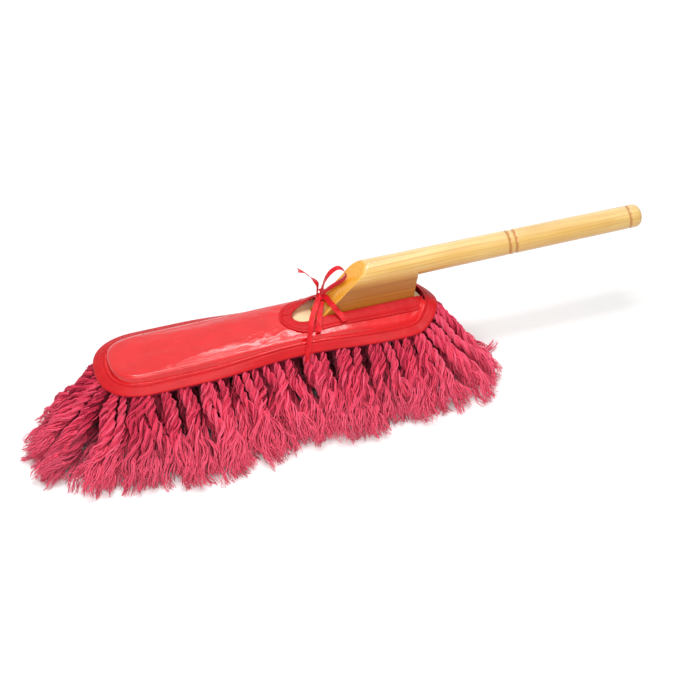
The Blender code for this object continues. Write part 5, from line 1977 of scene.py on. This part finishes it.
@dataclass
class Tie:
    """Satin ribbon tied over the neck in a bow, with its knot, loops, tails and straps."""

    placement: Placement
    effects: SurfaceEffects
    slope_x: float = 227.5
    width: float = 6.0
    thickness: float = 0.45
    middle_share: float = 0.5
    edge_share: float = 0.32
    curl: float = 0.35
    curl_change: float = 0.7
    twist: float = 0.16
    layer_gap: float = 1.1
    shares: tuple[float, ...] = (-1.0, -0.75, -0.4, 0.0, 0.4, 0.75, 1.0)
    steps: int = 7
    fray_from: float = 3.6
    fray_length: float = 3.0
    fraying: float = 0.5
    ribbons: tuple[Ribbon, ...] = (NEAR_STRAP, FAR_STRAP, LOOP_UP, TAIL_UP, TAIL_DOWN, LOOP_DOWN)
    knot_centre: Triple = (251.8, 8.5, 29.9)
    knot_sizes: Triple = (4.4, 5.2, 3.7)
    knot_rings: int = 16
    knot_points: int = 28
    knot_crease: float = 0.07
    wrap_points: int = 36
    wrap_room: float = 1.02
    wrap_half_width: float = 2.5
    wrap_slant: float = 0.9
    wrap_bow: float = 0.5
    wrap_shares: tuple[float, ...] = (-1.0, -0.6, 0.0, 0.6, 1.0)

    def path(self, ribbon: Ribbon) -> tuple[list[Vector], list[Vector]]:
        """Middle line and width directions of a ribbon.

        Args:
            ribbon: The ribbon.

        Returns:
            Its points in the cover's frame and the width direction at each.
        """
        start = Vector((self.slope_x, 0.0, 0.0))
        places = curve_through([start + Vector(place) for place, _ in ribbon.route], self.steps)
        widths = curve_through([Vector(width) for _, width in ribbon.route], self.steps)
        return resample(places, len(places)), widths

    def strip(
        self, places: list[Vector], widths: list[Vector], shift: float, waver: float,
    ) -> list[Ring]:
        """Rings of one strip of ribbon, with gently curled edges.

        Args:
            places: Its middle line.
            widths: Direction of its width at each point.
            shift: How far it lies off the middle line, to its upper side.
            waver: Start of its own noise.

        Returns:
            The rings.
        """
        rings = []
        for index, place in enumerate(places):
            ahead = places[min(index + 1, len(places) - 1)]
            run = (ahead - places[max(index - 1, 0)]).normalized()
            level = (widths[index] - run * widths[index].dot(run)).normalized()
            upright = run.cross(level)
            turn = self.twist * ripple(waver, index * 0.16)
            across = level * math.cos(turn) + upright * math.sin(turn)
            lift = upright * math.cos(turn) - level * math.sin(turn)
            change = 1.0 + self.curl_change * ripple(waver + 5.0, index * 0.2)
            low, high = [], []
            for share in self.shares:
                bow = self.curl * (share * share - 0.4) * change
                spot = place + across * (share * self.width / 2.0) + lift * (bow + shift)
                half = self.thickness * mix(self.middle_share, self.edge_share, abs(share))
                low.append(spot - lift * half)
                high.append(spot + lift * half)
            rings.append(low + high[::-1])
        return rings

    def mark_fray(self, item: Object, tip: Vector | None) -> None:
        """Store how frayed each point of a ribbon is, which is 0 without a frayed tip."""
        stored = item.data.attributes.new("frayed", "FLOAT", "POINT")
        if tip is None:
            return
        for vert, value in zip(item.data.vertices, stored.data):
            near = self.fray_from - (vert.co - tip).length / MM
            value.value = self.fraying * smooth_step(near / self.fray_length)

    def build_ribbon(self, ribbon: Ribbon) -> None:
        """Build one ribbon."""
        places, widths = self.path(ribbon)
        line = self.placement.points(places)
        piece = Piece(ribbon.name, self.placement)
        waver = len(ribbon.name) * 3.7
        for layer in range(ribbon.layers):
            shift = self.layer_gap * (layer - (ribbon.layers - 1) / 2.0)
            piece.loft(self.strip(places, widths, shift, waver + layer * 11.0))
        item = piece.finish(self.satin)
        self.mark_fray(item, line[-1] if ribbon.frayed else None)
        dress(item, Slot.RIBBON_SATIN, ribbon.node)
        if ribbon.free is None:
            return
        path_length(line)
        self.width * MM

    def build_knot(self) -> None:
        """Small knot with a wrap of ribbon drawn tight over it."""
        up_slope = Vector((1.0, 0.0, 1.0)).normalized()
        off_slope = Vector((-1.0, 0.0, 1.0)).normalized()
        across = Vector((0.0, 1.0, 0.0))
        half_up, half_across, half_off = self.knot_sizes
        centre = Vector(self.knot_centre)
        piece = Piece("tie_knot_satin", self.placement)

        def around(start: Vector, turn: float, size: float) -> Vector:
            """Point round the knot at a turn, on an oval of its shape."""
            up = up_slope * (half_up * size * math.cos(turn))
            return start + up + off_slope * (half_off * size * math.sin(turn))

        rings = []
        for angle in stops(0.0, math.pi, self.knot_rings)[1:]:
            middle = centre + across * (half_across * 0.95 * math.cos(angle))
            ring = []
            for turn in stops(0.0, math.tau, self.knot_points):
                crease = math.sin(3.0 * turn + 5.0 * math.cos(angle))
                size = math.sin(angle) * (1.0 + self.knot_crease * crease)
                ring.append(around(middle, turn, size))
            rings.append(ring)
        piece.loft(rings)
        wrap = []
        for turn in stops(0.0, math.tau, self.wrap_points):
            outward = up_slope * math.cos(turn) + off_slope * math.sin(turn)
            bed = around(centre, turn, self.wrap_room)
            section = []
            for share in self.wrap_shares:
                side = share * self.wrap_half_width + self.wrap_slant * math.sin(turn)
                section.append(bed + across * side - outward * (self.wrap_bow * share * share))
            upper = [spot + outward * self.thickness for spot in reversed(section)]
            wrap.append(section + upper)
        piece.loft(wrap, closed=True)
        item = piece.finish(self.satin)
        self.mark_fray(item, None)
        dress(item, Slot.RIBBON_SATIN, "tie_knot")

    def build(self) -> None:
        """Build the knot and every ribbon."""
        self.satin = SatinFinish().make(self.effects)
        self.build_knot()
        for ribbon in self.ribbons:
            self.build_ribbon(ribbon)


# Studio


@dataclass(frozen=True)
class Lamp:
    """One softbox: where it hangs, its turn in degrees, its size and its power in watts."""

    name: str
    place: Triple
    turn: Triple
    size: Pair
    power: float


@dataclass
class Studio:
    """Floor, white surroundings, three softboxes and camera."""

    camera_place: Triple = (-0.37596, -1.12296, 1.0404)
    camera_turn: Triple = (49.32, 0.0, -19.11)
    lens: float = 72.0
    sensor_width: float = 36.0
    ambient: float = 0.25
    floor_size: float = 4.0
    floor_tone: float = 0.96
    floor_lift: float = 0.14
    far_floor_lift: float = 0.22
    under_middle: Triple = (-0.155, -0.012, 0.0)
    under_scale: Triple = (4.6, 9.5, 0.0)
    lamps: tuple[Lamp, ...] = (
        Lamp("softbox_overhead", (-0.05, -0.02, 1.70), (0.0, 0.0, 0.0), (0.95, 0.65), 17.5),
        Lamp("softbox_behind", (0.33, 0.70, 1.62), (-24.0, 0.0, -34.0), (0.46, 0.20), 4.0),
        Lamp("softbox_front", (-0.46, -1.30, 1.05), (53.0, 0.0, -19.0), (1.2, 0.8), 12.5),
    )

    @staticmethod
    def blank_sheet(holder: World | Material) -> NodeSheet:
        """Give a world or a material an empty node tree."""
        holder.use_nodes = True
        holder.node_tree.nodes.clear()
        return NodeSheet(holder.node_tree)

    @staticmethod
    def seen_otherwise(sheet: NodeSheet, rest: Wire, seen: Wire, *rays: str) -> Wire:
        """Mix two shaders, so that only some kinds of ray meet the second one."""
        path = sheet.outs("ShaderNodeLightPath")
        share = path[rays[0]]
        for kind in rays[1:]:
            share = sheet.maths("MAXIMUM", share, path[kind])
        return sheet.out("ShaderNodeMixShader", {0: share, 1: rest, 2: seen})

    @staticmethod
    def hang(name: str, data: ID, place: tuple, turn: tuple) -> Object:
        """Place a lamp or a camera, turned by degrees."""
        item = add_object(name, data)
        item.location = place
        item.rotation_euler = Euler([math.radians(angle) for angle in turn])
        return item

    def build_world(self) -> None:
        """White surroundings for what the camera sees, softer light for the rest."""
        world = bpy.data.worlds.new("studio")
        bpy.context.scene.world = world
        sheet = self.blank_sheet(world)
        soft, white = [
            sheet.out("ShaderNodeBackground", {"Color": WHITE, "Strength": strength})
            for strength in (self.ambient, 1.0)
        ]
        rays = ("Is Camera Ray", "Is Glossy Ray", "Is Transmission Ray")
        sheet.add("ShaderNodeOutputWorld", {0: self.seen_otherwise(sheet, soft, white, *rays)})

    def build_floor(self) -> None:
        """Plain pale floor that keeps the shadow and is lifted to white around it."""
        half = self.floor_size / 2.0
        mesh = bpy.data.meshes.new("floor")
        corners = [(-half, -half, 0.0), (half, -half, 0.0), (half, half, 0.0), (-half, half, 0.0)]
        mesh.from_pydata(corners, [], [(0, 1, 2, 3)])
        material = bpy.data.materials.new("pale_floor")
        sheet = self.blank_sheet(material)
        matt = sheet.out("ShaderNodeBsdfDiffuse", {"Color": (self.floor_tone,) * 3})
        place = sheet.out("ShaderNodeTexCoord", output="Object")
        spread = (place - self.under_middle) * self.under_scale
        away = sheet.out("ShaderNodeVectorMath", {0: spread}, 1, operation="LENGTH")
        near = away.eased(0.75, 1.15) * self.floor_lift
        strength = away.eased(3.0, 7.0) * self.far_floor_lift + near
        lift = sheet.out("ShaderNodeEmission", {"Color": WHITE, "Strength": strength})
        lifted = sheet.out("ShaderNodeAddShader", {0: matt, 1: lift})
        both = self.seen_otherwise(sheet, matt, lifted, "Is Camera Ray", "Is Glossy Ray")
        sheet.add("ShaderNodeOutputMaterial", {0: both})
        mesh.materials.append(material)
        add_object("floor", mesh)

    def build_light(self, lamp: Lamp) -> None:
        """Hang one softbox."""
        light = bpy.data.lights.new(lamp.name, "AREA")
        light.shape = "RECTANGLE"
        light.size, light.size_y = lamp.size
        light.energy = lamp.power
        self.hang(lamp.name, light, lamp.place, lamp.turn)

    def build_camera(self) -> None:
        """Camera at the angle of the photograph."""
        camera = bpy.data.cameras.new("camera")
        camera.lens = self.lens
        camera.sensor_width = self.sensor_width
        item = self.hang("camera", camera, self.camera_place, self.camera_turn)
        bpy.context.scene.camera = item

    def build(self) -> None:
        """Build the whole studio."""
        self.build_world()
        self.build_floor()
        for lamp in self.lamps:
            self.build_light(lamp)
        self.build_camera()
        bpy.context.scene.view_settings.view_transform = "Standard"


def main() -> None:
    """Dress the whole duster."""
    logging.basicConfig(level=logging.INFO, format="%(message)s")
    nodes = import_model()["nodes"]
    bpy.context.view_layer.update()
    placement = Placement.from_board()
    effects = SurfaceEffects()
    Studio().build()
    Tie(placement, effects).build()
    Handle(placement, effects, nodes).build()
    cover = Cover(placement, effects)
    cover.build()
    Fringe(placement, effects, cover.rim).build()


if __name__ == "__main__":
    main()
